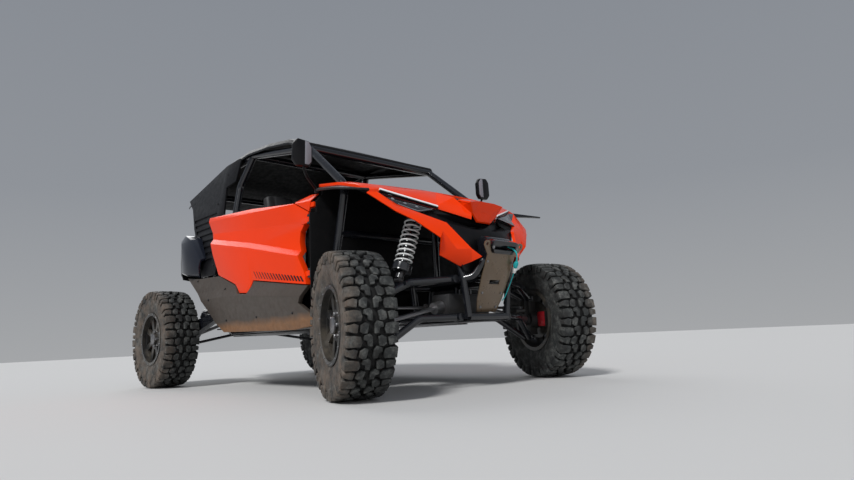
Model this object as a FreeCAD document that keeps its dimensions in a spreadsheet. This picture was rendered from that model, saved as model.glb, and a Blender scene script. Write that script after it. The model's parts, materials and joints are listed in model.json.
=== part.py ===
import FreeCAD, Part
import math
import os
import Sketcher

# Side by side off-road vehicle with two seats, in millimetres.
# +X is forward, +Y is left, +Z is up. The origin is on the floor, under the middle of the vehicle.
# The front wheels stand steered to the right by steer_rest, as the vehicle was parked.

Vector = FreeCAD.Vector
doc = FreeCAD.newDocument("side_by_side")
sheet = doc.addObject("Spreadsheet::Sheet", "Sizes")

SIZES = [
    # alias, value, what it is
    ("axle_reach", 1260, "origin to each axle, along X"),
    ("tail_overhang", 386, "rear axle to the rear fascia's reach, along X"),
    ("bumper_proud", 58.2, "how far the rear bumper stands out behind the fascia"),
    ("half_track", 800, "centre plane to a wheel's centre plane"),
    ("tyre_radius", 381, "hub centre to a lug's flat top"),
    ("tyre_half_width", 127, "half the width over the shoulder lugs"),
    ("lug_height", 15, "groove floor to lug top"),
    ("lug_count", 24, "shoulder lugs round each side of a tyre"),
    ("lug_share", 0.62, "share of the pitch that a lug fills"),
    ("centre_lug_half", 52, "half the width of the centre row of lugs"),
    ("bead_half_width", 103, "half the width of the tyre at the rim"),
    ("bead_gap", 0.4, "tyre bore to bead seat"),
    ("rim_seat_radius", 190, "bead seat"),
    ("rim_flange_radius", 205, "flange lip"),
    ("rim_half_width", 112, "half the width over the flanges"),
    ("rim_flange_width", 8, "flange thickness along the axle"),
    ("rim_wall", 8, "barrel wall"),
    ("rim_face_depth", 34, "outer flange to the wheel face"),
    ("rim_face_thick", 20, "wheel face thickness"),
    ("window_count", 8, "openings in the wheel face"),
    ("window_low", 78, "hub centre to a window's inner edge"),
    ("window_high", 166, "hub centre to a window's outer edge"),
    ("window_low_half", 14, "half a window's width at its inner edge"),
    ("window_high_half", 44, "half a window's width at its outer edge"),
    ("hub_radius", 46, "hub barrel"),
    ("disc_radius", 120, "brake disc"),
    ("disc_thick", 6, "brake disc thickness"),
    ("disc_offset", 60, "wheel centre plane to the disc, inwards"),
    ("hub_end", 78, "wheel centre plane to the hub's inner end"),
    ("spindle_radius", 19, "fixed spindle inside the hub"),
    ("spindle_length", 70, "spindle inside the hub"),
    ("running_gap", 0.08, "gap round a pin, a spindle or a rod"),
    ("clear_gap", 5, "gap between faces that pass each other"),
    # steering
    ("kingpin_out", 675, "centre plane to the kingpin"),
    ("steer_rest", 20, "front wheels turned right as parked, degrees"),
    ("upright_half", 28, "half the upright's length along X"),
    ("upright_in", 25, "kingpin to the upright's inner face"),
    ("upright_out", 30, "kingpin to the upright's outer face"),
    ("upright_low", 285, "underside of the upright"),
    ("upright_high", 505, "top of the upright"),
    ("kingpin_radius", 8, "ball joint pin"),
    ("eye_radius", 23, "arm eye round the kingpin"),
    ("eye_thick", 28, "arm eye height"),
    ("steer_arm", 120, "kingpin to the tie rod joint, rearwards"),
    ("steer_arm_low", 440, "underside of the steering arm"),
    ("steer_arm_thick", 16, "steering arm thickness"),
    ("rod_radius", 9, "tie rod and rack"),
    ("rod_eye_radius", 16, "tie rod eye"),
    ("rod_eye_thick", 18, "tie rod eye height"),
    # front suspension
    ("arm_radius", 20, "suspension arm tube"),
    ("stub_radius", 14, "arm tube beside the upright"),
    ("high_pivot_up", 612, "height of the upper arm's pivots"),
    ("arm_spread", 165, "axle to an arm's pivot, along X"),
    ("pivot_radius", 22, "pivot bush"),
    ("pivot_half", 28, "half a pivot bush's length"),
    ("shock_foot_out", 490, "centre plane to the front shock's foot"),
    ("shock_head_out", 335, "centre plane to the front shock's head"),
    ("shock_head_up", 1020, "height of the front shock's head"),
    ("shock_eye", 18, "shock eye"),
    ("shock_head_ahead", 0, "axle to the front shock's head, along X"),
    ("saddle_up", 594, "top of the upper arm's shock saddle"),
    ("seat_low_share", 0.13, "share of a shock below its spring"),
    ("seat_high_share", 0.82, "share of a shock below its upper spring seat"),
    ("spring_seat_thick", 6, "spring seat"),
    ("spring_radius", 46, "coil centreline"),
    ("spring_wire", 12, "coil wire, across its flats"),
    ("spring_turns", 8, "turns of each coil"),
    ("damper_radius", 25, "damper tube"),
    # frame and cage
    ("rail_radius", 19, "frame tube"),
    ("rail_bend", 45, "bend radius of a frame tube"),
    ("floor_front", 800, "front of the floor frame"),
    ("floor_rear", -600, "rear of the floor frame"),
    ("rail_up", 400, "height of the lower rails"),
    ("bulkhead_ahead", 45, "front arm pivots to the foremost frame tubes, along X"),
    ("rail_out", 165, "centre plane to the inner rails"),
    ("high_rail_out", 195, "centre plane to the front upper rails"),
    ("rear_rail_up", 950, "height of the rear upper rails"),
    ("side_rail_out", 560, "centre plane to the side rails"),
    ("cage_radius", 25, "cage tube"),
    ("cowl_x", 905, "cage knee at the cowl"),
    ("cowl_up", 1215, "height of the cage knee"),
    ("cage_out", 572, "centre plane to the cage at the cowl"),
    ("header_x", 480, "windscreen header"),
    ("header_up", 1560, "height of the header tube"),
    ("header_out", 545, "centre plane to the cage at the header"),
    ("crown_x", -300, "highest bend of the roof rail"),
    ("crown_up", 1702, "height of that bend"),
    ("crown_out", 532, "centre plane to the cage at that bend"),
    ("tail_x", -1080, "rear bend of the roof rail"),
    ("tail_up", 1545, "height of that bend"),
    ("tail_out", 520, "centre plane to the roof rail at the rear"),
    # floor, skid and panels
    ("skid_thick", 6, "skid plate"),
    ("skin", 8, "thin moulded panel"),
    ("door_thick", 38, "whole door"),
    ("hinge_x", 742, "door hinge axis, along X"),
    ("hinge_out", 724, "centre plane to the door hinge axis"),
    ("hinge_low", 700, "height of the lower hinge"),
    ("hinge_high", 1020, "height of the upper hinge"),
    ("hinge_pin", 5, "hinge pin radius"),
    ("hood_thick", 18, "hood moulding"),
    ("roof_thick", 14, "roof moulding"),
    ("bumper_radius", 19, "bumper bar tube"),
    ("bar_along", 300, "foot of the front plate to the bumper bar behind it, along the plate"),
    ("bar_half", 112, "half the bumper bar's straight length"),
    ("seat_gap", 0.2, "gap under a part that is bolted to a tube"),
    ("plate_thick", 6, "front plate"),
    ("plate_height", 418, "front plate, along its slope"),
    ("plate_lean", 24, "front plate from upright, degrees"),
    ("plate_foot_x", 1451, "front plate's foot, along X"),
    ("plate_foot_up", 429, "height of the front plate's foot"),
    ("plate_low_half", 82, "half the front plate's width at its foot"),
    ("plate_waist_half", 119, "half its width at the waist"),
    ("plate_top_half", 166, "half its width at the ears"),
    ("notch_half", 88, "half the rope notch's width at its foot"),
    ("notch_top_half", 116, "half the rope notch's width between the ears"),
    ("notch_up", 350, "foot of the rope notch, along the plate"),
    ("hole_out", 144, "centre plane to the holes in the ears"),
    ("hole_up", 398, "holes in the ears, along the plate"),
    ("rope_radius", 5, "winch rope"),
    ("drum_up", 386, "middle of the winch drum and the fairlead, along the plate"),
    ("drum_back", 64, "front plate to the middle of the winch drum"),
    ("drum_radius", 40, "winch drum housing"),
    ("slot_half", 44, "half the width of the slot low in the plate"),
    ("slot_tall", 24, "height of that slot"),
    ("slot_up", 180, "middle of that slot, along the plate"),
    ("rope_out", -100, "winch rope's path, out from the centre plane to the right"),
    ("plate_hole", 9, "radius of the holes in the front plate"),
    ("vent_count", 4, "slots in the hood vent"),
    ("vent_pitch", 34, "pitch of those slots"),
    ("vent_slot", 14, "length of a slot along X"),
    ("slat_pitch", 52, "louvre pitch of the rear quarter"),
    ("slat_slot", 26, "height of a louvre slot"),
    ("slat_count", 8, "louvre slots in each rear quarter"),
    ("slat_depth", 9, "depth of a louvre slot"),
    ("quarter_thick", 14, "rear quarter panel"),
    ("quarter_foot", 828, "height of a rear quarter's lower edge"),
    ("quarter_out", 712, "centre plane to a rear quarter at its lower edge"),
    ("quarter_lean", 0.154, "inward lean of a rear quarter for each unit of height"),
    ("bed_half", 470, "half the cargo bed's inner width"),
    ("bed_front", -870, "front of the cargo bed"),
    ("bed_length", 700, "cargo bed, inside"),
    ("bed_wall", 10, "cargo bed wall"),
    ("bed_depth", 130, "cargo bed wall height"),
    # cabin
    ("tub_wall", 8, "cabin floor and walls"),
    ("tub_rear", -552, "rear of the cabin floor"),
    ("floor_half", 690, "half the cabin floor's width"),
    ("shelf_up", 992, "underside of the shelf behind the seats"),
    ("firewall_x", 762, "rear face of the firewall"),
    ("column_lean", 35, "steering column above level, degrees"),
    ("seat_out", 300, "centre plane to a seat's middle"),
    ("seat_half", 235, "half a seat's width"),
    ("seat_foot_up", 560, "underside of a seat"),
    ("seat_base_half", 190, "half a seat base's width"),
    ("wheel_ring", 160, "steering wheel radius"),
    ("wheel_ratio", 8, "turn of the steering wheel to a turn of the front wheels"),
    ("wheel_grip", 14, "steering wheel rim"),
    # power unit
    ("engine_half", 240, "half the engine block's width"),
    ("engine_front", -740, "front of the engine block"),
    ("engine_rear", -1230, "rear of the engine block"),
    ("engine_high", 860, "top of the engine block"),
    ("case_half", 172, "half the front gear case's width"),
    # rear suspension
    ("muffler_radius", 75, "muffler"),
    ("trail_pivot_x", -645, "trailing arm's front pivot"),
    ("trail_pivot_up", 520, "height of that pivot"),
    ("trail_out", 632, "centre plane to the trailing arm"),
    ("trail_half", 28, "half the trailing arm's width"),
]
for row, (alias, value, note) in enumerate(SIZES, 1):
    sheet.set(f"A{row}", alias)
    sheet.set(f"B{row}", str(value))
    sheet.setAlias(f"B{row}", alias)
    sheet.set(f"C{row}", note)
doc.recompute()

kept = []  # the sub-parts, in the order in which they are made


def size(alias):
    return float(sheet.get(alias))


def keep(obj, label):
    obj.Label = label
    kept.append(obj)
    return obj


def feature(label, shape):
    """A sub-part whose shape is worked out from the sheet by the functions below."""
    obj = doc.addObject("Part::Feature", "shape_" + label)
    obj.Shape = shape
    return keep(obj, label)


def bind(obj, **formulas):
    """Ties properties to cells of the sheet. A double underscore stands for a dot."""
    for name, formula in formulas.items():
        obj.setExpression(name.replace("__", "."), formula)
    return obj


def at(x, out, up, side=-1):
    """A point given by its distance out from the centre plane: side -1 is right, 1 is left."""
    return Vector(x, side * out, up)


def closed(points):
    return Part.makePolygon(list(points) + [points[0]])


def ruled(sections):
    """A solid through flat or bent quads and polygons, with straight lines between them."""
    return Part.makeLoft([closed(s) for s in sections], True, True)


def prism(points, along):
    """A solid made by moving a flat closed outline."""
    return Part.Face(closed(points)).extrude(along)


def side_prism(outline, low_out, high_out):
    """An outline of (x, z) pairs, as a solid between two distances out from the centre plane, right side."""
    return prism([at(x, low_out, z) for x, z in outline], Vector(0, low_out - high_out, 0))


def box(x0, x1, y0, y1, z0, z1):
    return Part.makeBox(x1 - x0, y1 - y0, z1 - z0, Vector(x0, y0, z0))


def rod(start, end, radius):
    return Part.makeCylinder(radius, (end - start).Length, start, end - start)


def bent_tube(points, radius, bend):
    """A round tube along straight runs, each corner rounded by an arc of radius bend."""
    edges = []
    start = points[0]
    for before, corner, after in zip(points, points[1:], points[2:]):
        a = (before - corner).normalize()
        b = (after - corner).normalize()
        half = a.getAngle(b) / 2
        reach = bend / math.tan(half)
        p, q = corner + a * reach, corner + b * reach
        middle = corner + (a + b).normalize() * (bend / math.sin(half) - bend)
        edges.append(Part.LineSegment(start, p).toShape())
        edges.append(Part.Arc(p, middle, q).toShape())
        start = q
    edges.append(Part.LineSegment(start, points[-1]).toShape())
    path = Part.Wire(edges)
    first = points[1] - points[0]
    profile = Part.Wire(Part.makeCircle(radius, points[0], first))
    return path.makePipeShell([profile], True, False)


def joined(shapes):
    """Several touching solids as one."""
    return shapes[0].multiFuse(shapes[1:]).removeSplitter()


def cell(obj_type, name, **formulas):
    """A primitive of the Part workbench whose size and place are formulas of the sheet."""
    return bind(doc.addObject(obj_type, name), **formulas)


def seated(shape, *labels):
    """What is left of a shape beside the sub-parts that it sits on, without loose crumbs."""
    for label in labels:
        shape = shape.cut(doc.getObject("shape_" + label).Shape)
    largest = max(solid.Volume for solid in shape.Solids)
    whole = [solid for solid in shape.Solids if solid.Volume > largest / 3]
    return whole[0] if len(whole) == 1 else Part.makeCompound(whole)


def mirrored(shape):
    return shape.mirror(Vector(0, 0, 0), Vector(0, 1, 0))


def both(shape):
    """The right-hand shape with its left-hand twin, as two solids that don't touch."""
    return Part.makeCompound([s for half in (shape, mirrored(shape)) for s in half.Solids])


def across(shape):
    """A right half that reaches the centre plane, joined to its left-hand twin."""
    return shape.fuse(mirrored(shape)).removeSplitter()


# Wheels

def faceted(rings):
    """A solid of flat faces between rings of points, closed by the first and the last ring."""
    faces = [Part.Face(closed(rings[0])), Part.Face(closed(rings[-1]))]
    for ring, after in zip(rings, rings[1:]):
        for k in range(len(ring)):
            following = (k + 1) % len(ring)
            faces.append(Part.Face(closed([ring[k], ring[following], after[following], after[k]])))
    shape = Part.makeSolid(Part.makeShell(faces))
    if shape.Volume < 0:
        shape.reverse()
    return shape


def ring_points(radius, y):
    """A regular polygon about Y with one corner to each pitch of the lugs."""
    pitch = 2 * math.pi / size("lug_count")
    angles = [k * pitch for k in range(int(size("lug_count")))]
    return [Vector(radius * math.cos(angle), y, radius * math.sin(angle)) for angle in angles]


def lug_row(phase, low_y, high_y, corner):
    """A toothed ring about Y with one flat-topped lug to each pitch and its corners at a given radius."""
    pitch = 2 * math.pi / size("lug_count")
    half = size("lug_share") * pitch / 2
    root = size("tyre_radius") - size("lug_height")
    outer = []
    for k in range(int(size("lug_count"))):
        middle = -math.pi / 2 + (k + phase) * pitch
        for turn, radius in ((-1.12, root), (-1, corner), (1, corner), (1.12, root)):
            angle = middle + turn * half
            outer.append(Vector(radius * math.cos(angle), low_y, radius * math.sin(angle)))
    whole = prism(outer, Vector(0, high_y - low_y, 0))
    return whole.cut(prism(ring_points(root - 34, low_y - 1), Vector(0, high_y - low_y + 2, 0)))


def tyre_shape():
    """A tyre about Y: a faceted carcass under two shoulder rows and one centre row of lugs."""
    half, bead, middle = size("tyre_half_width"), size("bead_half_width"), size("centre_lug_half")
    tip, root = size("tyre_radius"), size("tyre_radius") - size("lug_height")
    seat = size("rim_seat_radius") + size("bead_gap")
    flank = (seat + root) / 2 + 20
    under = root - 22
    lip = size("rim_flange_radius") + 1
    flank_side = [(seat + 4, bead - 2), (lip, bead), (flank, half), (under, half - 3)]
    profile = [(radius, -y) for radius, y in flank_side] + flank_side[::-1]
    whole = faceted([ring_points(radius, y) for radius, y in profile])
    pitch = 2 * math.pi / size("lug_count")
    shoulder = tip / math.cos(size("lug_share") * pitch / 2)
    for phase, low, high, corner in ((0, -half, -middle, shoulder), (0.5, -middle, middle, tip),
                                     (0, middle, half, shoulder)):
        whole = whole.fuse(lug_row(phase, low, high, corner))
    bore = prism(ring_points(seat / math.cos(pitch / 2), -half - 1), Vector(0, 2 * half + 2, 0))
    return whole.cut(bore)


def outline_sketch(body, name, plane, corners, offset="0"):
    """A closed outline of straight edges whose corners are formulas of the sheet."""
    sketch = body.newObject("Sketcher::SketchObject", name)
    support = [f for f in body.Origin.OriginFeatures if f.Role == plane][0]
    sketch.AttachmentSupport = [(support, "")]
    sketch.MapMode = "FlatFace"
    sketch.setExpression("AttachmentOffset.Base.z", offset)
    points = [(float(sheet.evalExpression(u)), float(sheet.evalExpression(v))) for u, v in corners]
    ends = [Vector(u, v, 0) for u, v in points]
    for k, start in enumerate(ends):
        sketch.addGeometry(Part.LineSegment(start, ends[(k + 1) % len(ends)]))
    for k in range(len(ends)):
        sketch.addConstraint(Sketcher.Constraint("Coincident", k, 2, (k + 1) % len(ends), 1))
    for k, (u, v) in enumerate(corners):
        for kind, formula, value in (("DistanceX", u, points[k][0]), ("DistanceY", v, points[k][1])):
            index = sketch.addConstraint(Sketcher.Constraint(kind, -1, 1, k, 1, value))
            sketch.setExpression(f"Constraints[{index}]", formula)
    return sketch


def circle_sketch(body, name, plane, radius, offset="0"):
    """One circle round the origin whose radius is a formula of the sheet."""
    sketch = body.newObject("Sketcher::SketchObject", name)
    support = [f for f in body.Origin.OriginFeatures if f.Role == plane][0]
    sketch.AttachmentSupport = [(support, "")]
    sketch.MapMode = "FlatFace"
    sketch.setExpression("AttachmentOffset.Base.z", offset)
    value = float(sheet.evalExpression(radius))
    sketch.addGeometry(Part.Circle(Vector(0, 0, 0), Vector(0, 0, 1), value))
    sketch.addConstraint(Sketcher.Constraint("Coincident", 0, 3, -1, 1))
    index = sketch.addConstraint(Sketcher.Constraint("Radius", 0, value))
    sketch.setExpression(f"Constraints[{index}]", radius)
    return sketch


def pad(body, sketch, length, reverse=False, midplane=False):
    made = body.newObject("PartDesign::Pad", sketch.Name + "_pad")
    made.Profile = sketch
    made.setExpression("Length", length)
    made.Reversed = reverse
    made.SideType = "Symmetric" if midplane else "One side"
    body.Tip = made
    return made


def pocket(body, sketch, length, reverse=False):
    before = body.Shape.Volume
    made = body.newObject("PartDesign::Pocket", sketch.Name + "_pocket")
    made.Profile = sketch
    made.setExpression("Length", length)
    made.Reversed = reverse
    body.Tip = made
    doc.recompute()
    if body.Shape.Volume >= before:
        raise RuntimeError(sketch.Name + " cuts nothing")
    return made


def rim_body():
    """A wheel about Y with its outer face towards -Y: barrel, flanges, windowed face, hub and brake disc."""
    body = doc.addObject("PartDesign::Body", "rim_master")
    barrel = outline_sketch(body, "rim_barrel", "XY_Plane", [
        ("Sizes.rim_flange_radius", "-Sizes.rim_half_width"),
        ("Sizes.rim_flange_radius", "-Sizes.rim_half_width + Sizes.rim_flange_width"),
        ("Sizes.rim_seat_radius", "-Sizes.rim_half_width + Sizes.rim_flange_width"),
        ("Sizes.rim_seat_radius", "Sizes.rim_half_width - Sizes.rim_flange_width"),
        ("Sizes.rim_flange_radius", "Sizes.rim_half_width - Sizes.rim_flange_width"),
        ("Sizes.rim_flange_radius", "Sizes.rim_half_width"),
        ("Sizes.rim_seat_radius - Sizes.rim_wall", "Sizes.rim_half_width"),
        ("Sizes.rim_seat_radius - Sizes.rim_wall", "-Sizes.rim_half_width"),
    ])
    turned = body.newObject("PartDesign::Revolution", "rim_turned")
    turned.Profile = barrel
    turned.ReferenceAxis = (barrel, ["V_Axis"])
    turned.Angle = 360
    body.Tip = turned
    doc.recompute()
    face = circle_sketch(body, "rim_face", "XZ_Plane", "Sizes.rim_seat_radius - Sizes.rim_wall / 2",
                         "Sizes.rim_half_width - Sizes.rim_face_depth")
    pad(body, face, "Sizes.rim_face_thick", reverse=True)
    doc.recompute()
    window = outline_sketch(body, "rim_window", "XZ_Plane", [
        ("-Sizes.window_low_half", "Sizes.window_low"),
        ("Sizes.window_low_half", "Sizes.window_low"),
        ("Sizes.window_high_half", "Sizes.window_high"),
        ("-Sizes.window_high_half", "Sizes.window_high"),
    ], "Sizes.rim_half_width - Sizes.rim_face_depth")
    opening = pocket(body, window, "Sizes.rim_face_thick")
    pattern = body.newObject("PartDesign::PolarPattern", "rim_windows")
    pattern.Originals = [opening]
    pattern.Axis = (barrel, ["V_Axis"])
    pattern.Angle = 360
    pattern.setExpression("Occurrences", "Sizes.window_count")
    body.Tip = pattern
    doc.recompute()
    hub = circle_sketch(body, "hub_barrel", "XZ_Plane", "Sizes.hub_radius", "-Sizes.hub_end")
    pad(body, hub, "Sizes.hub_end + Sizes.rim_half_width - Sizes.rim_face_depth + 12")
    disc = circle_sketch(body, "brake_disc", "XZ_Plane", "Sizes.disc_radius", "-Sizes.disc_offset")
    pad(body, disc, "Sizes.disc_thick", reverse=True)
    doc.recompute()
    seat = circle_sketch(body, "spindle_seat", "XZ_Plane", "Sizes.spindle_radius + Sizes.running_gap",
                         "-Sizes.hub_end")
    pocket(body, seat, "Sizes.spindle_length + Sizes.clear_gap", reverse=True)
    return body


CORNERS = [
    # name, side (-1 right, 1 left), end (1 front, -1 rear)
    ("front_right", -1, 1),
    ("front_left", 1, 1),
    ("rear_right", -1, -1),
    ("rear_left", 1, -1),
]


def wheel_placement(side, end):
    """Where a wheel made about the origin stands: the front ones turn with the kingpin."""
    centre = Vector(end * size("axle_reach"), side * size("half_track"), size("tyre_radius"))
    place = FreeCAD.Placement(centre, FreeCAD.Rotation())
    return steered(side).multiply(place) if end > 0 else place


def steered(side):
    """The turn about a front kingpin from straight ahead to the rest angle."""
    pin = Vector(size("axle_reach"), side * size("kingpin_out"), 0)
    turn = FreeCAD.Rotation(Vector(0, 0, 1), -size("steer_rest"))
    return FreeCAD.Placement(pin, FreeCAD.Rotation()).multiply(
        FreeCAD.Placement(Vector(0, 0, 0), turn)).multiply(FreeCAD.Placement(pin * -1, FreeCAD.Rotation()))


def make_wheels():
    tyre = tyre_shape()
    rim = rim_body()
    rim_left = doc.addObject("Part::Mirroring", "rim_left")
    rim_left.Source = rim
    rim_left.Normal = Vector(0, 1, 0)
    doc.recompute()
    for name, side, end in CORNERS:
        carried = feature("tyre_" + name, tyre)
        carried.Placement = wheel_placement(side, end)
        wheel = doc.addObject("Part::Compound", "rim_" + name)
        wheel.Links = [rim if side < 0 else rim_left]
        wheel.Placement = wheel_placement(side, end)
        keep(wheel, "rim_" + name)


# Uprights, arms and steering

def caliper(x, hub, bracket_out):
    """A brake caliper ahead of a right-hand hub, open round the disc, from its bracket outwards."""
    disc_out = size("half_track") - size("disc_offset")
    disc_in = disc_out - size("disc_thick")
    jaw = box(x + 60, x + 140, -(disc_out + 22), -(bracket_out - 12), hub - 45, hub + 50)
    far, near = disc_out + size("clear_gap"), disc_in - size("clear_gap")
    slot = box(x, x + size("disc_radius") + 6, -far, -near, hub - 90, hub + 90)
    return jaw.cut(slot)


def upright_shape():
    """The right front upright before it is steered: body, spindle, caliper, steering arm and joint cup."""
    x, pin, hub = size("axle_reach"), size("kingpin_out"), size("tyre_radius")
    half, low, high = size("upright_half"), size("upright_low"), size("upright_high")
    inner, outer = pin - size("upright_in"), pin + size("upright_out")
    hub_face = size("half_track") - size("hub_end")
    body = prism([at(x - half, inner, low), at(x + half, inner, low),
                  at(x + half, inner, high), at(x - half, inner, high)], Vector(0, inner - outer, 0))
    bearing = rod(at(x, inner, hub), at(x, hub_face - size("clear_gap"), hub), 58)
    spindle = rod(at(x, inner, hub), at(x, hub_face + size("spindle_length"), hub), size("spindle_radius"))
    cup = rod(at(x, pin - 53, hub), at(x, inner + 5, hub), 36)
    arm_low = size("steer_arm_low")
    arm = box(x - size("steer_arm") - 18, x, -pin - 18, -pin + 18, arm_low, arm_low + size("steer_arm_thick"))
    bracket = box(x + half - 5, x + 90, -outer, -(outer - 16), hub - 30, hub + 35)
    whole = joined([body, bearing, spindle, cup, arm, caliper(x, hub, outer), bracket])
    hole = size("kingpin_radius") + size("running_gap")
    for start, end in ((low - 1, low + 35), (high - 35, high + 1)):
        whole = whole.cut(rod(at(x, pin, start), at(x, pin, end), hole))
    joint = at(x - size("steer_arm"), pin, arm_low - 1)
    return whole.cut(rod(joint, joint + Vector(0, 0, size("steer_arm_thick") + 2), hole))


def make_uprights():
    right = upright_shape()
    for name, side, shape in (("right", -1, right), ("left", 1, mirrored(right))):
        made = feature("upright_" + name, shape)
        made.Placement = steered(side)


def wishbone(pin_end, bend, pivot, eye_low, pin_up):
    """One arm of the right front: an eye by the upright, slim stubs, two bent legs and two bushes."""
    x, pin = size("axle_reach"), size("kingpin_out")
    eye = rod(at(x, pin, eye_low), at(x, pin, eye_low + size("eye_thick")), size("eye_radius"))
    stud = rod(at(x, pin, pin_up), at(x, pin, pin_end), size("kingpin_radius"))
    level = eye_low + size("eye_thick") / 2
    bend_out, bend_up, bend_share = bend
    pieces = [eye, stud]
    for way in (-1, 1):
        hinge = at(x + way * size("arm_spread"), *pivot)
        knee = at(x + way * size("arm_spread") * bend_share, bend_out, bend_up)
        start, lead = at(x + way * 6, pin - 8, level), at(x + way * 22, pin - 55, level)
        pieces.append(rod(start, lead + (lead - start) * 0.2, size("stub_radius")))
        pieces.append(bent_tube([lead, knee, hinge], size("arm_radius"), 60))
        ahead = Vector(size("pivot_half"), 0, 0)
        pieces.append(rod(hinge - ahead, hinge + ahead, size("pivot_radius")))
    return pieces


def make_front_arms():
    gap, beside = size("clear_gap"), size("rail_radius") + size("pivot_radius")
    low_eye, high_eye = size("upright_low") - gap - size("eye_thick"), size("upright_high") + gap
    low_pivot = (size("rail_out") + beside, size("rail_up"))
    high_pivot = (size("high_rail_out") + beside, size("high_pivot_up"))
    lower = wishbone(size("upright_low") + 30, (430, 398, 0.55), low_pivot, low_eye, low_eye + 4)
    upper = wishbone(size("upright_high") - 30, (470, 596, 0.45), high_pivot, high_eye,
                     high_eye + size("eye_thick") - 4)
    x, foot, top = size("axle_reach"), size("shock_foot_out"), size("saddle_up")
    saddle = box(x - 95, x + 95, -(foot + 32), -(foot - 32), top - 16, top)
    feature("front_arms", both(Part.makeCompound([joined(lower), joined(upper + [saddle])])))


# Frame and cage

def welded(label, runs, crossings, under=()):
    """A frame of tubes: runs drawn on the right and mirrored, and straight bars from side to side."""
    tubes = [bent_tube(run, size("rail_radius"), size("rail_bend")) for run in runs]
    bars = [rod(at(*end), at(*end, 1), size("rail_radius")) for end in crossings]
    frame = joined([t for tube in tubes for t in (tube, mirrored(tube))] + bars)
    feature(label, seated(frame, *under))


def make_frame():
    up, out, side = size("rail_up"), size("rail_out"), size("side_rail_out")
    high_out, high, top = size("high_rail_out"), size("high_pivot_up"), size("rear_rail_up")
    ahead, behind = size("floor_front"), size("floor_rear")
    welded("floor_frame", [
        [at(ahead, out, up), at(behind, out, up)],
        [at(ahead, out, up), at(ahead, side, up), at(behind, side, up), at(behind, out, up)],
    ], [(ahead, out, up), (behind, out, up), (100, side, up)])

    axle, spread = size("axle_reach"), size("arm_spread")
    front, inner = axle + spread + size("bulkhead_ahead"), axle - spread - size("bulkhead_ahead")
    nose, head = front - 70, axle + size("shock_head_ahead")
    bar_up = size("shock_head_up") + size("shock_eye") + size("rail_radius")
    welded("front_frame", [
        [at(front, out, up), at(ahead, out, up)],
        [at(front, out, up), at(front, high_out, high), at(nose, 215, 850)],
        [at(front, high_out, high), at(ahead, high_out, high)],
        [at(head, high_out, high), at(head, high_out, bar_up)],
        [at(inner, out, up), at(inner, high_out, high)],
        [at(ahead, out, up), at(ahead, high_out, high)],
    ], [(front, out, up), (front, high_out, high), (head, 352, bar_up), (ahead, high_out, high),
        (nose, 215, 850)], ["floor_frame"])

    back = -axle - 130
    welded("rear_frame", [
        [at(back, out, up), at(behind, out, up)],
        [at(behind, side, up), at(behind - 20, side, top)],
        [at(behind - 20, side, top), at(-820, 545, top), at(-900, 430, top), at(back, 400, top)],
        [at(back, out, up), at(back, 400, top)],
    ], [(back, out, up), (back, 400, top), (behind - 20, side, top)], ["floor_frame"])


def cage_line():
    """The right-hand roof rail, from its foot behind the front wheel to its foot on the rear frame."""
    return [
        at(size("floor_front"), size("side_rail_out"), size("rail_up")),
        at(size("floor_front"), 575, 800),
        at(size("cowl_x"), size("cage_out"), size("cowl_up")),
        at(size("header_x"), size("header_out"), size("header_up")),
        at(size("crown_x"), size("crown_out"), size("crown_up")),
        at(-640, 525, size("crown_up") - 24),
        at(size("tail_x"), size("tail_out"), size("tail_up")),
        at(-1066, 520, 1385),
        at(-812, 546, size("rear_rail_up") + size("rail_radius") - 4),
    ]


def make_cage():
    radius = size("cage_radius")
    rail = bent_tube(cage_line(), radius, 90)
    pillar = bent_tube([at(size("crown_x") + 8, size("crown_out"), size("crown_up") - 4), at(-400, 585, 1480),
                        at(-390, 628, 1250), at(-614, 562, size("rear_rail_up"))], radius, 80)
    halves = [t for tube in (rail, pillar) for t in (tube, mirrored(tube))]
    crossings = [(size("header_x"), size("header_out"), size("header_up")),
                 (size("crown_x"), size("crown_out"), size("crown_up")),
                 (size("tail_x") + 20, size("tail_out"), size("tail_up") + 2), (-394, 626, 1266),
                 (835, 573, 936)]
    bars = [rod(at(x, o, z), at(x, o, z, 1), radius) for x, o, z in crossings]
    feature("roll_cage", seated(joined(halves + bars), "floor_frame", "rear_frame"))


# Panels

def panel(grid, thickness):
    """A moulded panel: a net of points made of flat triangles, given a thickness by one shift."""
    faces = []
    low = [[p + thickness for p in row] for row in grid]

    def flat(points):
        faces.append(Part.Face(closed(points)))

    for i in range(len(grid) - 1):
        for j in range(len(grid[0]) - 1):
            for net in (grid, low):
                a, b, c, d = net[i][j], net[i][j + 1], net[i + 1][j + 1], net[i + 1][j]
                flat([a, b, c])
                flat([a, c, d])
    tall, wide = len(grid), len(grid[0])
    rim = [(0, j) for j in range(wide)] + [(i, wide - 1) for i in range(1, tall)]
    rim += [(tall - 1, j) for j in range(wide - 2, -1, -1)] + [(i, 0) for i in range(tall - 2, 0, -1)]
    for (i, j), (k, m) in zip(rim, rim[1:] + rim[:1]):
        flat([grid[i][j], grid[k][m], low[k][m], low[i][j]])
    shape = Part.makeSolid(Part.makeShell(faces))
    if shape.Volume < 0:
        shape.reverse()
    return shape.removeSplitter()


def net(rows):
    """Rows of (x, out, z) as points on the right-hand side."""
    return [[at(*point) for point in row] for row in rows]


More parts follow.
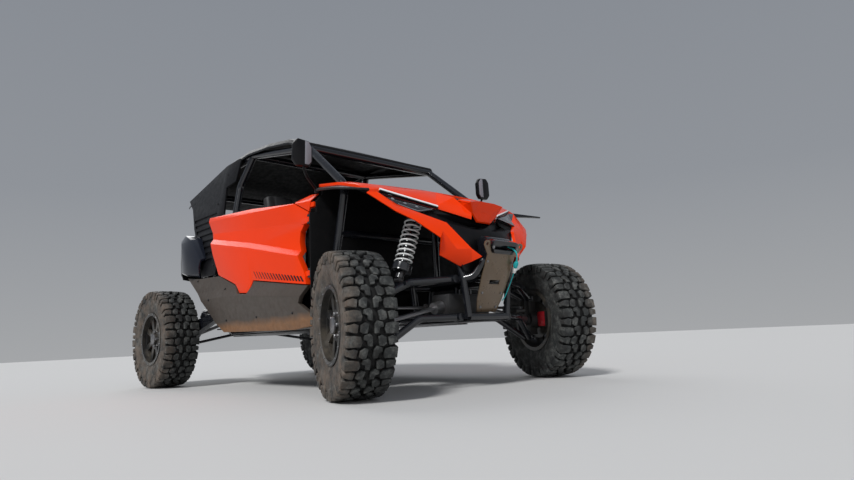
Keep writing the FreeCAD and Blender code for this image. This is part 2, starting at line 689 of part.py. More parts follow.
HOOD_ROWS = [
    [(770, 0, 1262), (770, 150, 1262), (770, 262, 1262), (770, 430, 1258), (770, 590, 1250),
     (770, 668, 1236)],
    [(970, 0, 1232), (970, 150, 1232), (970, 262, 1230), (970, 430, 1226), (970, 590, 1220),
     (970, 668, 1206)],
    [(1130, 0, 1196), (1130, 150, 1195), (1130, 262, 1190), (1130, 430, 1183), (1130, 590, 1174),
     (1130, 667, 1160)],
    [(1240, 0, 1158), (1240, 150, 1156), (1240, 262, 1146), (1225, 420, 1132), (1190, 575, 1142),
     (1185, 655, 1126)],
]
SHOULDER_ROWS = [
    [(1240, 150, 1156), (1240, 262, 1146), (1225, 420, 1132), (1190, 575, 1142), (1185, 655, 1126)],
    [(1386, 150, 1099), (1358, 262, 1040), (1284, 415, 1086), (1211, 566, 1133), (1203, 640, 1116)],
]
SPOUT_ROWS = [[(1386, 150, 1099), (1358, 262, 1040)], [(1478, 102, 996), (1474, 104, 974)]]
BEAK_ROWS = [
    [(1400, 0, 1094), (1400, 125, 1086)],
    [(1512, 0, 1060), (1512, 142, 1050)],
    [(1494, 0, 1000), (1488, 104, 993)],
    [(1484, 0, 948), (1481, 59, 948)],
]
BEAK_SIDE = [[(1400, 125, 1086), (1512, 142, 1050)], [(1400, 118, 1040), (1488, 104, 993)]]


def make_hood():
    """The hood: a main skin, a shoulder beside the vent, and a raised beak between the lamps."""
    down, back = Vector(0, 0, -size("hood_thick")), Vector(-12, 0, -10)
    pieces = [panel(net(HOOD_ROWS), down), panel(net(SHOULDER_ROWS), down), panel(net(SPOUT_ROWS), down),
              panel(net(BEAK_ROWS), back), panel(net(BEAK_SIDE), Vector(0, 10, -4))]
    main = pieces[0].multiFuse(pieces[1:])
    fat = bent_tube(cage_line(), size("cage_radius") + 1, 90)
    feature("hood", across(main.cut(fat)))


STRIP_LINE = [(1210, 568, 1127), (1285, 416, 1080), (1360, 264, 1034)]
LAMP_FOOT = [(1236, 598, 1104), (1290, 505, 1034), (1375, 424, 983)]


def make_headlamps():
    """A dark lens under a slim bright strip on each side, both swept back along the edge of the hood."""
    top = [(x, out, z - 14) for x, out, z in STRIP_LINE]
    lamp = panel(net([top, LAMP_FOOT]), Vector(-36, 0, -26))
    edge = [(x + 5, out, z - 14) for x, out, z in STRIP_LINE]
    strip = panel(net([STRIP_LINE, edge]), Vector(9, 0, 7))
    feature("lamp_strips", seated(both(strip), "hood"))
    feature("headlamps", seated(both(lamp), "hood", "lamp_strips"))


FANG_TOP = [(1234, 600, 1105), (1288, 505, 1033), (1374, 425, 981), (1461, 296, 921), (1555, 205, 769),
            (1592, 164, 722)]
FANG_RIDGE = [(1216, 635, 1103), (1316, 530, 1012), (1406, 460, 951), (1478, 345, 866), (1514, 280, 766),
              (1536, 190, 699)]
FANG_LOW = [(1200, 660, 1105), (1352, 570, 976), (1415, 490, 923), (1488, 375, 827), (1434, 335, 741),
            (1479, 223, 679)]


def make_fangs():
    fang = panel(net([FANG_TOP, FANG_RIDGE, FANG_LOW]), Vector(-14, 10, 0))
    feature("nose_fangs", seated(both(fang), "hood", "headlamps"))


TRIM_TOP = [(770, 668, 1217), (970, 668, 1187), (1130, 667, 1141), (1185, 655, 1106)]
TRIM_EDGE = [(770, 694, 1203), (970, 712, 1170), (1180, 738, 1122), (1352, 750, 1080)]


def make_fender_trims():
    """Black wings along the hood's sides that widen forwards to a point over each front wheel."""
    trims = both(panel(net([TRIM_TOP, TRIM_EDGE]), Vector(0, 6, -12)))
    feature("fender_trims", seated(trims, "hood", "headlamps", "nose_fangs", "cowl_spears"))


FASCIA_ROWS = [
    [(1468, 0, 934), (1462, 60, 934), (1400, 170, 984), (1352, 262, 1016)],
    [(1425, 0, 926), (1418, 66, 926), (1372, 175, 962), (1340, 290, 996)],
    [(1425, 0, 904), (1418, 84, 906), (1380, 200, 934), (1350, 330, 968)],
    [(1500, 0, 896), (1492, 122, 894), (1462, 215, 912), (1436, 300, 930)],
    [(1510, 0, 860), (1504, 122, 858), (1480, 220, 872), (1450, 290, 890)],
    [(1500, 0, 800), (1500, 110, 800), (1490, 200, 800), (1470, 250, 800)],
    [(1498, 0, 644), (1498, 110, 644), (1498, 180, 644), (1496, 214, 660)],
]
VENT_ROWS = [[(1236, 0, 1146), (1236, 147, 1144)], [(1404, 0, 1086), (1389, 147, 1086)]]


def make_grille():
    """The black nose: a lip under the beak, a deep slot, a shelf, a lower panel, and the hood vent."""
    nose = panel(net(FASCIA_ROWS), Vector(-8, 0, -4))
    vent = panel(net(VENT_ROWS), Vector(0, 0, -12))
    slats = []
    for k in range(int(size("vent_count"))):
        x = VENT_ROWS[0][0][0] + size("vent_pitch") * (k + 0.8)
        slats.append(box(x, x + size("vent_slot"), -125, 125, 1000, 1200))
    vent = across(vent)
    for slat in slats:
        vent = vent.cut(slat)
    neighbours = ["hood", "headlamps", "nose_fangs"]
    feature("grille", Part.makeCompound([seated(across(nose), *neighbours), seated(vent, *neighbours)]))


def make_roof():
    header, crown, tail = size("header_up"), size("crown_up"), size("tail_up")
    stations = [(size("header_x") + 15, header + 35.5, 0), (268, crown - 21, 10), (0, crown + 19, 16),
                (size("crown_x"), crown + 39.5, 18), (-640, crown + 15, 18), (-990, tail + 85, 14),
                (-1370, tail - 15, 6)]
    columns = [(0, 1, 0), (300, 0.7, 0), (515, 0, 0), (545, 0, 0), (560, 0, -4), (576, 0, -30)]
    rows = [[(x, out, z + share * rise + drop) for out, share, drop in columns] for x, z, rise in stations]
    feature("roof", seated(across(panel(net(rows), Vector(0, 0, -size("roof_thick")))), "roll_cage"))


def side_skin(stations, thickness):
    """The side of the body: profiles of (out, z) from top to bottom at two or more places along X."""
    sections = []
    for x, profile in stations:
        outer = [at(x, out, z) for out, z in profile]
        inner = [at(x, out - thickness, z) for out, z in reversed(profile)]
        sections.append(outer + inner)
    return ruled(sections)


DOOR_OUTLINE = [(-650, 1270), (0, 1222), (546, 1155), (706, 1072), (606, 968), (597, 910), (622, 820),
                (675, 730), (712, 637), (60, 725), (-5, 645), (-125, 655), (-200, 723), (-453, 812),
                (-540, 970)]
DOOR_PROFILES = [
    (-760, [(690, 1330), (722, 1244), (706, 1160), (712, 1128), (738, 1094), (722, 720), (732, 600)]),
    (0, [(676, 1262), (722, 1190), (702, 1080), (706, 985), (738, 950), (724, 700), (736, 600)]),
    (800, [(652, 1180), (708, 1132), (694, 1000), (698, 810), (734, 775), (726, 690), (738, 600)]),
]
SPEAR_OUTLINE = [(552, 1160), (738, 1214), (737, 1135), (711, 1077)]
ROCKER_OUTLINE = [(725, 629), (636, 532), (762, 454), (761, 397), (509, 378), (-408, 398), (-523, 470),
                  (-600, 545), (-700, 627), (-980, 838), (-780, 815), (-455, 804), (-204, 715),
                  (-128, 648), (-2, 638), (62, 718)]
ROCKER_PROFILES = [
    (-1000, [(735, 880), (735, 700), (735, 640), (700, 370)]),
    (-360, [(722, 880), (724, 720), (752, 646), (700, 370)]),
    (780, [(722, 880), (724, 640), (752, 560), (700, 370)]),
]
QUARTER_OUTLINE = [(-550, 828), (-547, 968), (-606, 1128), (-618, 1165), (-564, 1290), (-590, 1512),
                   (-440, 1532), (-405, 1690), (-430, 1712), (-640, 1700), (-990, 1613), (-1290, 1536),
                   (-1187, 1440), (-1092, 1262), (-930, 1040), (-786, 828)]


def make_sides():
    thick = size("door_thick")
    skin = side_skin(DOOR_PROFILES, thick)
    door = skin.common(side_prism(DOOR_OUTLINE, 560, 800))
    axis_x, axis_out = size("hinge_x"), size("hinge_out")
    barrels = []
    for z in (size("hinge_low"), size("hinge_high")):
        leaf = box(644, axis_x, -axis_out + 8, -axis_out + 30, z - 15, z + 15)
        eye = rod(at(axis_x, axis_out, z - 15), at(axis_x, axis_out, z + 15), 11)
        barrels += [leaf, eye]
    door = joined([door] + barrels)
    fixed = []
    for z in (size("hinge_low"), size("hinge_high")):
        hole = size("hinge_pin") + size("running_gap")
        door = door.cut(rod(at(axis_x, axis_out, z - 16), at(axis_x, axis_out, z + 16), hole))
        ears = [rod(at(axis_x, axis_out, z + low), at(axis_x, axis_out, z + high), 11)
                for low, high in ((-28, -16), (16, 28))]
        arms = [box(axis_x, 762, -axis_out - 9, -axis_out + 9, z + low, z + high)
                for low, high in ((-28, -16), (16, 28))]
        plate = box(755, 762, -axis_out - 9, -axis_out + 16, z - 28, z + 28)
        pin = rod(at(axis_x, axis_out, z - 28), at(axis_x, axis_out, z + 28), size("hinge_pin"))
        fixed.append(joined(ears + arms + [plate, pin]))
    feature("door_right", door)
    feature("door_left", mirrored(door))
    feature("door_hinges", both(Part.makeCompound(fixed)))
    spear = side_skin(DOOR_PROFILES, size("skin")).common(side_prism(SPEAR_OUTLINE, 560, 800))
    foot = box(700, size("firewall_x"), -702, -674, 1100, 1128)
    feature("cowl_spears", both(joined([spear, foot])))
    rocker = side_skin(ROCKER_PROFILES, 30).common(side_prism(ROCKER_OUTLINE, 560, 800))
    low, floor_half = size("rail_up") + size("rail_radius"), size("floor_half")
    floor = box(size("tub_rear"), size("firewall_x"), -floor_half, 0, low, low + size("tub_wall"))
    feature("rocker_panels", both(rocker.cut(floor)))
    make_quarters()


def leaning(outline, skin_out, skin_in):
    """An outline of (x, z) pairs on the plane that leans in behind the doors, thickened out and in."""
    def plane(x, z, depth):
        return at(x, size("quarter_out") - size("quarter_lean") * (z - size("quarter_foot")) - depth, z)

    return ruled([[plane(x, z, -skin_out) for x, z in outline], [plane(x, z, skin_in) for x, z in outline]])


def make_quarters():
    """Black panels behind the doors, leaning in towards the roof, with a ladder of blind louvre slots."""
    quarter = leaning(QUARTER_OUTLINE, 0, size("quarter_thick"))
    pitch, slot = size("slat_pitch"), size("slat_slot")
    for k in range(int(size("slat_count"))):
        low = 940 + k * pitch
        front, rear = -640 - 6 * k, -838 - 36 * k
        hole = [(front, low), (front - 6, low + slot), (rear - 18, low + slot), (rear, low)]
        quarter = quarter.cut(leaning(hole, 5, size("slat_depth")))
    feature("rear_quarters", seated(both(quarter), "roof"))


FENDER_ROWS = [
    # behind the rear axle when below 0, then pairs of distance out and height from the bed to the lower edge
    (500, [(600, 1000), (660, 992), (735, 962), (748, 900), (742, 838)]),
    (360, [(484, 1150), (600, 1168), (745, 1128), (782, 1040), (776, 856)]),
    (220, [(484, 1150), (560, 1200), (730, 1190), (768, 1120), (764, 890)]),
    (100, [(484, 1150), (545, 1215), (685, 1215), (722, 1160), (716, 990)]),
    (-20, [(484, 1150), (535, 1210), (640, 1205), (676, 1150), (672, 1080)]),
    (-220, [(484, 1130), (515, 1165), (570, 1150), (598, 1090), (596, 1030)]),
    (-346, [(484, 1104), (500, 1112), (520, 1090), (541, 1040), (540, 930)]),
]


def make_bed():
    """The cargo bed: one box hollowed by another."""
    across_in, across_out = "2 * Sizes.bed_half", "2 * (Sizes.bed_half + Sizes.bed_wall)"
    low = "Sizes.rear_rail_up + Sizes.rail_radius"
    outer = cell("Part::Box", "bed_outer", Length="Sizes.bed_length + 2 * Sizes.bed_wall", Width=across_out,
                 Height="Sizes.bed_depth + Sizes.bed_wall",
                 Placement__Base__x="Sizes.bed_front - Sizes.bed_length - Sizes.bed_wall",
                 Placement__Base__y="-Sizes.bed_half - Sizes.bed_wall", Placement__Base__z=low)
    inner = cell("Part::Box", "bed_inner", Length="Sizes.bed_length", Width=across_in,
                 Height="Sizes.bed_depth + 1", Placement__Base__x="Sizes.bed_front - Sizes.bed_length",
                 Placement__Base__y="-Sizes.bed_half", Placement__Base__z=low + " + Sizes.bed_wall")
    bed = doc.addObject("Part::Cut", "shape_cargo_bed")
    bed.Base, bed.Tool = outer, inner
    doc.recompute()
    keep(bed, "cargo_bed")


def make_rear_body():
    axle, tail = -size("axle_reach"), -size("axle_reach") - size("tail_overhang")
    rows = [[(axle + x, out, z) for out, z in pairs] for x, pairs in FENDER_ROWS]
    fender = panel(net(rows), Vector(0, 12, -12)).cut(leaning(QUARTER_OUTLINE, 0, 250))
    fender = max(fender.Solids, key=lambda solid: solid.Volume)
    feature("rear_fenders", seated(both(fender), "cargo_bed"))
    fascia = [
        [(tail + 28, 0, 1108), (tail + 28, 300, 1108), (tail + 40, 450, 1108), (tail + 66, 545, 1060)],
        [(tail + 14, 0, 985), (tail + 14, 300, 985), (tail + 26, 450, 985), (tail + 56, 548, 960)],
        [(tail + 46, 0, 880), (tail + 46, 300, 880), (tail + 56, 450, 880), (tail + 80, 540, 890)],
    ]
    lens = [[(tail + 20, 350, 1078), (tail + 34, 500, 1070)],
            [(tail + 13, 350, 1010), (tail + 28, 510, 1004)]]
    feature("tail_lamps", both(panel(net(lens), Vector(14, 0, 0))))
    skin = across(panel(net(fascia), Vector(12, 0, 0)))
    feature("rear_fascia", seated(skin, "tail_lamps", "rear_fenders", "cargo_bed"))
    tube, back = size("rail_radius"), axle - 130
    end = tail - size("bumper_proud") + tube
    hoop = bent_tube([at(back, 400, 930), at(back - 170, 400, 800), at(end, 300, 770), at(end, 0, 770)], tube, 60)
    brace = bent_tube([at(back, 165, 400), at(back - 180, 165, 560), at(end, 165, 770)], tube, 60)
    bumper = joined([s for half in (hoop, brace) for s in (half, mirrored(half))])
    feature("rear_bumper", seated(bumper, "rear_frame"))


# Front end

def make_front_end():
    """A cross tube behind the front plate, on two struts from the front of the frame."""
    tube, back = size("bumper_radius"), size("bumper_radius") + size("seat_gap")
    ends = [on_plate(size("bar_along"), -back, way * size("bar_half")) for way in (1, -1)]
    front = size("axle_reach") + size("arm_spread") + size("bulkhead_ahead")
    foot = at(front, size("high_rail_out"), size("high_pivot_up"))
    knee = at(front + 46, 160, size("high_pivot_up") + 10)
    strut = bent_tube([foot, knee, ends[0]], tube, 60)
    bumper = joined([rod(ends[0], ends[1], tube), strut, mirrored(strut)])
    feature("bumper_bar", seated(bumper, "front_frame"))


def make_plate():
    """The leaning front plate with its two ears, drawn flat, then stood up by its placement."""
    body = doc.addObject("PartDesign::Body", "front_plate_body")
    half = [
        ("Sizes.plate_low_half", "0"),
        ("Sizes.plate_waist_half - 14", "Sizes.plate_height * 0.18"),
        ("Sizes.plate_waist_half", "Sizes.plate_height * 0.5"),
        ("Sizes.plate_waist_half", "Sizes.notch_up - 14"),
        ("Sizes.plate_top_half", "Sizes.hole_up - 10"),
        ("Sizes.plate_top_half", "Sizes.hole_up + 12"),
        ("Sizes.plate_top_half - 14", "Sizes.plate_height"),
        ("Sizes.notch_top_half + 10", "Sizes.plate_height"),
        ("Sizes.notch_top_half", "Sizes.hole_up"),
        ("Sizes.notch_half + 10", "Sizes.notch_up + 10"),
        ("Sizes.notch_half - 6", "Sizes.notch_up"),
    ]
    twin = [("-(" + out + ")", along) for out, along in reversed(half)]
    outline = outline_sketch(body, "plate_outline", "YZ_Plane", half + twin)
    pad(body, outline, "Sizes.plate_thick")
    doc.recompute()
    for name, way in (("right", "-"), ("left", "")):
        hole = circle_sketch(body, "hole_" + name, "YZ_Plane", "Sizes.plate_hole")
        hole.setExpression("AttachmentOffset.Base.x", way + "Sizes.hole_out")
        hole.setExpression("AttachmentOffset.Base.y", "Sizes.hole_up")
        pocket(body, hole, "Sizes.plate_thick", reverse=True)
    slot = outline_sketch(body, "plate_slot", "YZ_Plane", [
        ("-Sizes.slot_half", "Sizes.slot_up - Sizes.slot_tall / 2"),
        ("Sizes.slot_half", "Sizes.slot_up - Sizes.slot_tall / 2"),
        ("Sizes.slot_half", "Sizes.slot_up + Sizes.slot_tall / 2"),
        ("-Sizes.slot_half", "Sizes.slot_up + Sizes.slot_tall / 2"),
    ])
    pocket(body, slot, "Sizes.plate_thick", reverse=True)
    body.Placement = FreeCAD.Placement(Vector(size("plate_foot_x"), 0, size("plate_foot_up")),
                                       FreeCAD.Rotation(Vector(0, 1, 0), size("plate_lean")))
    keep(body, "front_plate")


def on_plate(along, ahead, out):
    """A point by its distance up the front plate, ahead of its rear face and out from the centre plane."""
    lean = math.radians(size("plate_lean"))
    x = size("plate_foot_x") + along * math.sin(lean) + ahead * math.cos(lean)
    z = size("plate_foot_up") + along * math.cos(lean) - ahead * math.sin(lean)
    return at(x, out, z)


def plate_prism(outline, back, ahead):
    """An outline of (out, along) pairs on the front plate, between two distances ahead of its rear face."""
    base = [on_plate(along, back, out) for out, along in outline]
    return prism(base, on_plate(0, ahead, 0) - on_plate(0, back, 0))


def make_winch():
    """The winch drum on its shelf behind the plate, the fairlead in the notch, and the hanging rope."""
    up, back, radius = size("drum_up"), size("drum_back"), size("drum_radius")
    drum = on_plate(up, -back, 0)
    half = size("plate_waist_half") - 14
    body = rod(drum + Vector(0, -half, 0), drum + Vector(0, half, 0), radius)
    seat = size("bar_along") + size("bumper_radius")
    shelf = [(-half, seat), (half, seat), (half, up - radius + 6), (-half, up - radius + 6)]
    base = plate_prism(shelf, -back - 20, -size("seat_gap"))
    winch = joined([body, base]).cut(doc.getObject("shape_bumper_bar").Shape)
    gap, notch, thick = 1, size("notch_up"), size("plate_thick")
    low_half, top_half = size("notch_half") - 8 - gap, size("notch_top_half") - gap
    high = size("plate_height") + 6
    ring = [(-low_half, notch + gap), (low_half, notch + gap), (top_half - 6, size("hole_up") - 6),
            (top_half - 6, high - 8), (top_half - 30, high), (30 - top_half, high), (6 - top_half, high - 8),
            (6 - top_half, size("hole_up") - 6)]
    fairlead = plate_prism(ring, -24, thick + 12)
    mouth_half, mouth_low, mouth_high = top_half - 26, up - 14, up + 14
    mouth = [(-mouth_half, mouth_low), (mouth_half, mouth_low), (mouth_half, mouth_high),
             (-mouth_half, mouth_high)]
    fairlead = fairlead.cut(plate_prism(mouth, -25, thick + 13))
    fairlead = max(fairlead.cut(winch).Solids, key=lambda solid: solid.Volume)
    feature("winch", Part.makeCompound([winch, fairlead]))
    out, radius = size("rope_out"), size("rope_radius")
    start = size("drum_radius") + size("seat_gap") - back
    route = [on_plate(up, start, out + 24), on_plate(up, 36, out + 18), on_plate(up - 62, 40, out - 8),
             on_plate(up - 108, 30, out - 20)]
    rope = bent_tube(route, radius, 14)
    end, down = route[-1], (route[-1] - route[-2]).normalize()
    sleeve = rod(end, end + down * 34, radius + 5)
    strap = bent_tube([end + down * 30, end + down * 66, on_plate(up - 240, 14, out - 28),
                       on_plate(up - 300, 16, out - 16)], 3, 14)
    feature("winch_rope", joined([rope, sleeve, strap]))


def make_firewall():
    low, high = size("rail_up") + size("rail_radius") + size("tub_wall"), 1062
    outline = [(0, low), (690, low), (690, 520), (735, 520), (735, high), (690, high), (692, 1130),
               (645, 1178),
               (645, 1217), (590, 1231), (430, 1239), (262, 1243), (0, 1243)]
    front = size("firewall_x")
    half = prism([at(front, out, z) for out, z in outline], Vector(size("tub_wall"), 0, 0))
    wall = across(half)
    for name in ("cowl_spears",):
        wall = wall.cut(doc.getObject("shape_" + name).Shape)
    feature("firewall", wall)


def make_cabin():
    wall, low = size("tub_wall"), size("rail_up") + size("rail_radius")
    back, front = size("tub_rear"), size("firewall_x")
    floor_half = size("floor_half")
    floor = box(back, front, -floor_half, floor_half, low, low + wall)
    floor = floor.fuse(box(front, front + wall, -floor_half, floor_half, low, low + wall))
    rear = box(back, back + wall, -540, 540, low, size("shelf_up"))
    sills = [box(back, front, y - wall / 2, y + wall / 2, low, 560) for y in (-640, 640)]
    shelf_up = size("shelf_up")
    shelf = box(size("bed_front") + size("bed_wall"), back + wall, -500, 500, shelf_up, shelf_up + wall)
    feature("cabin_tub", joined([floor, rear, shelf] + sills))
    outline = [(761.7, 905), (761.7, 1240), (700, 1236), (640, 1190), (585, 1090), (600, 960), (680, 905)]
    feature("dash", across(side_prism(outline, 0, 540)))
    console = [(480, low + wall), (500, 560), (440, 640), (-200, 640), (-300, 560), (-300, low + wall)]
    tunnel = across(side_prism(console, 0, 58))
    lever = bent_tube([at(200, 0, 630), at(225, 0, 740), at(205, 0, 800)], 7, 20)
    knob = Part.makeSphere(22, at(203, 0, 808))
    feature("console", joined([tunnel, lever, knob]))


SEAT_OUTLINE = [(262, 650), (235, 700), (120, 690), (-95, 664), (-165, 730), (-255, 1180), (-290, 1330),
                (-300, 1424), (-352, 1424), (-370, 1330), (-340, 1180), (-262, 640)]


def make_seats():
    out, half = size("seat_out"), size("seat_half")
    foot = size("seat_foot_up")
    cushion = side_prism([(235, foot)] + SEAT_OUTLINE + [(-220, foot)], out - half, out + half)
    feature("seats", both(cushion))
    low = "Sizes.rail_up + Sizes.rail_radius + Sizes.tub_wall"
    boxes = [cell("Part::Box", "seat_box_" + name, Length="430", Width="2 * Sizes.seat_base_half",
                  Height="Sizes.seat_foot_up - (" + low + ")", Placement__Base__x="-205",
                  Placement__Base__y=sign + "Sizes.seat_out - Sizes.seat_base_half", Placement__Base__z=low)
             for name, sign in (("right", "-"), ("left", ""))]
    bases = doc.addObject("Part::Compound", "shape_seat_bases")
    bases.Links = boxes
    keep(bases, "seat_bases")


def make_steering_wheel():
    centre = Vector(455, size("seat_out"), 1040)
    lean = math.radians(size("column_lean"))
    axis = Vector(-math.cos(lean), 0, math.sin(lean))
    pin, gap = 10, size("running_gap")
    ring = Part.makeTorus(size("wheel_ring"), size("wheel_grip"), centre, axis)
    hub = rod(centre - axis * 30, centre - axis * 4, 36)
    shaft = rod(centre - axis * 90, centre - axis * 20, pin)
    spokes = []
    rest_turn = size("steer_rest") * size("wheel_ratio")
    for turn in (90 + rest_turn, 210 + rest_turn, 330 + rest_turn):
        arm = box(-13, 13, 0, size("wheel_ring"), -4, 4)
        arm.translate(Vector(0, 0, -8))
        arm.rotate(Vector(0, 0, 0), Vector(0, 0, 1), turn)
        spokes.append(arm)
    for arm in spokes:
        arm.rotate(Vector(0, 0, 0), Vector(0, 1, 0), -90 + size("column_lean"))
        arm.translate(centre)
    feature("steering_wheel", joined([ring, hub, shaft] + spokes))
    tube = rod(centre - axis * 240, centre - axis * 36, 24)
    bore = rod(centre - axis * 96, centre - axis * 35, pin + gap)
    column = tube.cut(bore).cut(doc.getObject("shape_dash").Shape)
    column = max(column.Solids, key=lambda solid: solid.Volume)
    feature("steering_column", column)


def make_rack():
    gap, radius = size("running_gap"), size("rod_radius")
    up = size("steer_arm_low") + size("steer_arm_thick") + size("clear_gap") + size("rod_eye_thick") / 2
    turn = math.radians(size("steer_rest"))
    x = size("axle_reach") - size("steer_arm") * math.cos(turn)
    shift = size("steer_arm") * math.sin(turn)
    pin, thick = size("kingpin_out"), size("rod_eye_thick")
    ends = [Vector(x, way * pin + shift, up) for way in (-1, 1)]
    eyes = [rod(end - Vector(0, 0, thick / 2), end + Vector(0, 0, thick / 2), size("rod_eye_radius"))
            for end in ends]
    feature("steering_rack", joined([rod(ends[0], ends[1], radius)] + eyes))
    half, rest = 190, size("rail_up") + size("rail_radius")
    body = rod(Vector(x, -half, up), Vector(x, half, up), 24)
    feet = [box(x - 20, x + 20, side - 15, side + 15, rest, up) for side in (-165, 165)]
    bore = rod(Vector(x, -half - 1, up), Vector(x, half + 1, up), radius + gap)
    feature("rack_housing", joined([body] + feet).cut(bore))


def spring(start, length, radius, wire, turns):
    """A coil along +Z from a start height: a square wire led round a helix in short straight pieces."""
    steps = 8 * int(turns)
    sections = []
    for k in range(steps + 1):
        angle = 2 * math.pi * k / 8
        middle = start + wire / 2 + (length - wire) * k / steps
        corners = ((-1, -1), (1, -1), (1, 1), (-1, 1))
        section = []
        for outward, upward in corners:
            reach = radius + outward * wire / 2
            section.append(Vector(reach * math.cos(angle), reach * math.sin(angle), middle + upward * wire / 2))
        sections.append(section)
    return ruled(sections)


def along(shape, start, end):
    """Stands a shape made on +Z at start, pointing at end."""
    placed = shape.copy()
    placed.Placement = FreeCAD.Placement(start, FreeCAD.Rotation(Vector(0, 0, 1), end - start))
    return placed


def shock(foot, head, foot_axis, head_axis):
    """A damper with its two eyes and spring seats, and its coil spring."""
    length, tube = (head - foot).Length, size("damper_radius")
    low, high = length * size("seat_low_share"), length * size("seat_high_share")
    plate, disc = size("spring_seat_thick"), size("spring_radius") + size("spring_wire")
    pieces = [
        Part.makeCylinder(tube, length * 0.6 - 12, Vector(0, 0, 12)),
        Part.makeCylinder(9, length * 0.4, Vector(0, 0, length * 0.6 - 8)),
        Part.makeCylinder(disc, plate, Vector(0, 0, low - plate)),
        Part.makeCylinder(disc, plate, Vector(0, 0, high)),
    ]
    eye = size("shock_eye")
    ends = [rod(p - a * 20, p + a * 20, eye) for p, a in ((foot, foot_axis), (head, head_axis))]
    damper = joined([along(piece, foot, head) for piece in pieces] + ends)
    coil = spring(low, high - low, size("spring_radius"), size("spring_wire"), size("spring_turns"))
    return damper, along(coil, foot, head)


def make_shocks():
    x, eye = size("axle_reach"), size("shock_eye")
    across_x, across_y = Vector(1, 0, 0), Vector(0, 1, 0)
    foot = at(x, size("shock_foot_out"), size("saddle_up") + eye)
    head = at(x, size("shock_head_out"), size("shock_head_up"))
    damper, coil = shock(foot, head, across_x, across_x)
    dampers, coils = [damper], [coil]
    rail_low = size("rear_rail_up") - size("rail_radius")
    foot = at(-1000, size("trail_out") - size("trail_half") - 20, 470)
    head = at(-848, 505, rail_low - eye)
    damper, coil = shock(foot, head, across_y, across_x)
    feature("shocks", seated(both(Part.makeCompound(dampers + [damper])), "rear_arms", "front_arms"))
    feature("springs", both(Part.makeCompound(coils + [coil])))


def make_rear_arms():
    x, hub = -size("axle_reach"), size("tyre_radius")
    out, half = size("trail_out"), size("trail_half")
    pivot_x, pivot_up = size("trail_pivot_x"), size("trail_pivot_up")
    outline = [(pivot_x + 22, pivot_up - 18), (pivot_x + 22, pivot_up + 18), (pivot_x - 20, pivot_up + 34),
               (-1000, 512), (x + 90, 480), (x - 40, 478), (x - 72, hub), (x - 40, 290), (x + 60, 290),
               (-1000, 412), (pivot_x - 30, pivot_up - 26)]
    arm = side_prism(outline, out - half, out + half)
    hub_face = size("half_track") - size("hub_end")
    bush = rod(at(pivot_x, out - half - 62, pivot_up), at(pivot_x, out + half, pivot_up), 22)
    bearing = rod(at(x, out, hub), at(x, hub_face - size("clear_gap"), hub), 58)
    spindle = rod(at(x, out, hub), at(x, hub_face + size("spindle_length"), hub), size("spindle_radius"))
    holder = box(x + 40, x + 90, -(out + half + 34), -(out + half - 4), hub - 30, hub + 35)
    brake = caliper(x, hub, out + half + 40)
    feature("rear_arms", seated(both(joined([arm, bush, bearing, spindle, holder, brake])), "rear_frame"))
    inner = out - half
    links = [rod(at(x - 20, inner, 325), at(x - 70, size("rail_out"), size("rail_up")), 12),
             rod(at(x - 30, inner, 440), at(x - 130, 235, 563), 12)]
    feature("rear_links", seated(both(Part.makeCompound(links)), "rear_frame", "rear_arms"))


def make_driveline():
    x, low = size("axle_reach"), "Sizes.rail_up + Sizes.rail_radius"
    block = cell("Part::Box", "engine_box", Length="Sizes.engine_front - Sizes.engine_rear",
                 Width="2 * Sizes.engine_half", Height="Sizes.engine_high - (" + low + ")",
                 Placement__Base__x="Sizes.engine_rear", Placement__Base__y="-Sizes.engine_half",
                 Placement__Base__z=low)
    case = cell("Part::Box", "gear_case", Length="140", Width="2 * Sizes.case_half", Height="121",
                Placement__Base__x="Sizes.axle_reach - 70", Placement__Base__y="-Sizes.case_half",
                Placement__Base__z=low)
    unit = doc.addObject("Part::Compound", "shape_engine_block")
    unit.Links = [block, case]
    doc.recompute()
    keep(unit, "engine_block")
    hub, cup = size("tyre_radius"), size("kingpin_out") - 75
    face = size("case_half")
    front = [rod(at(x, face, 470), at(x, cup, hub + 6), 13),
             rod(at(x, face, 470), at(x, face + 60, 457.5), 34),
             rod(at(x, cup - 50, hub + 16.4), at(x, cup, hub + 6), 32)]
    front = joined(front).cut(case.Shape)
    rear_x, inner = -x, size("trail_out") - size("trail_half")
    start, end = at(rear_x + 60, size("engine_half"), 520), at(rear_x, inner, hub)
    rear = joined([rod(start, end, 13), rod(start, start + (end - start) * 0.2, 34),
                   rod(end - (end - start) * 0.16, end, 32)])
    rear = rear.cut(block.Shape).cut(doc.getObject("shape_rear_arms").Shape)
    rear = max(rear.Solids, key=lambda solid: solid.Volume)
    feature("drive_shafts", both(Part.makeCompound([front, rear])))
    back = -x - 130
    middle = back - size("rail_radius") - size("muffler_radius")
    can = rod(at(middle, 325, 740), at(middle, 325, 740, 1), size("muffler_radius"))
    outlet = rod(at(middle, 190, 740), at(24 - x - size("tail_overhang"), 190, 724), 27)
    pipe = rod(at(size("engine_rear"), -90, 700), at(middle, -90, 740), 24)
    can = joined([can, outlet, pipe.cut(block.Shape)])
    feature("muffler", seated(can, "rear_frame", "rear_bumper"))


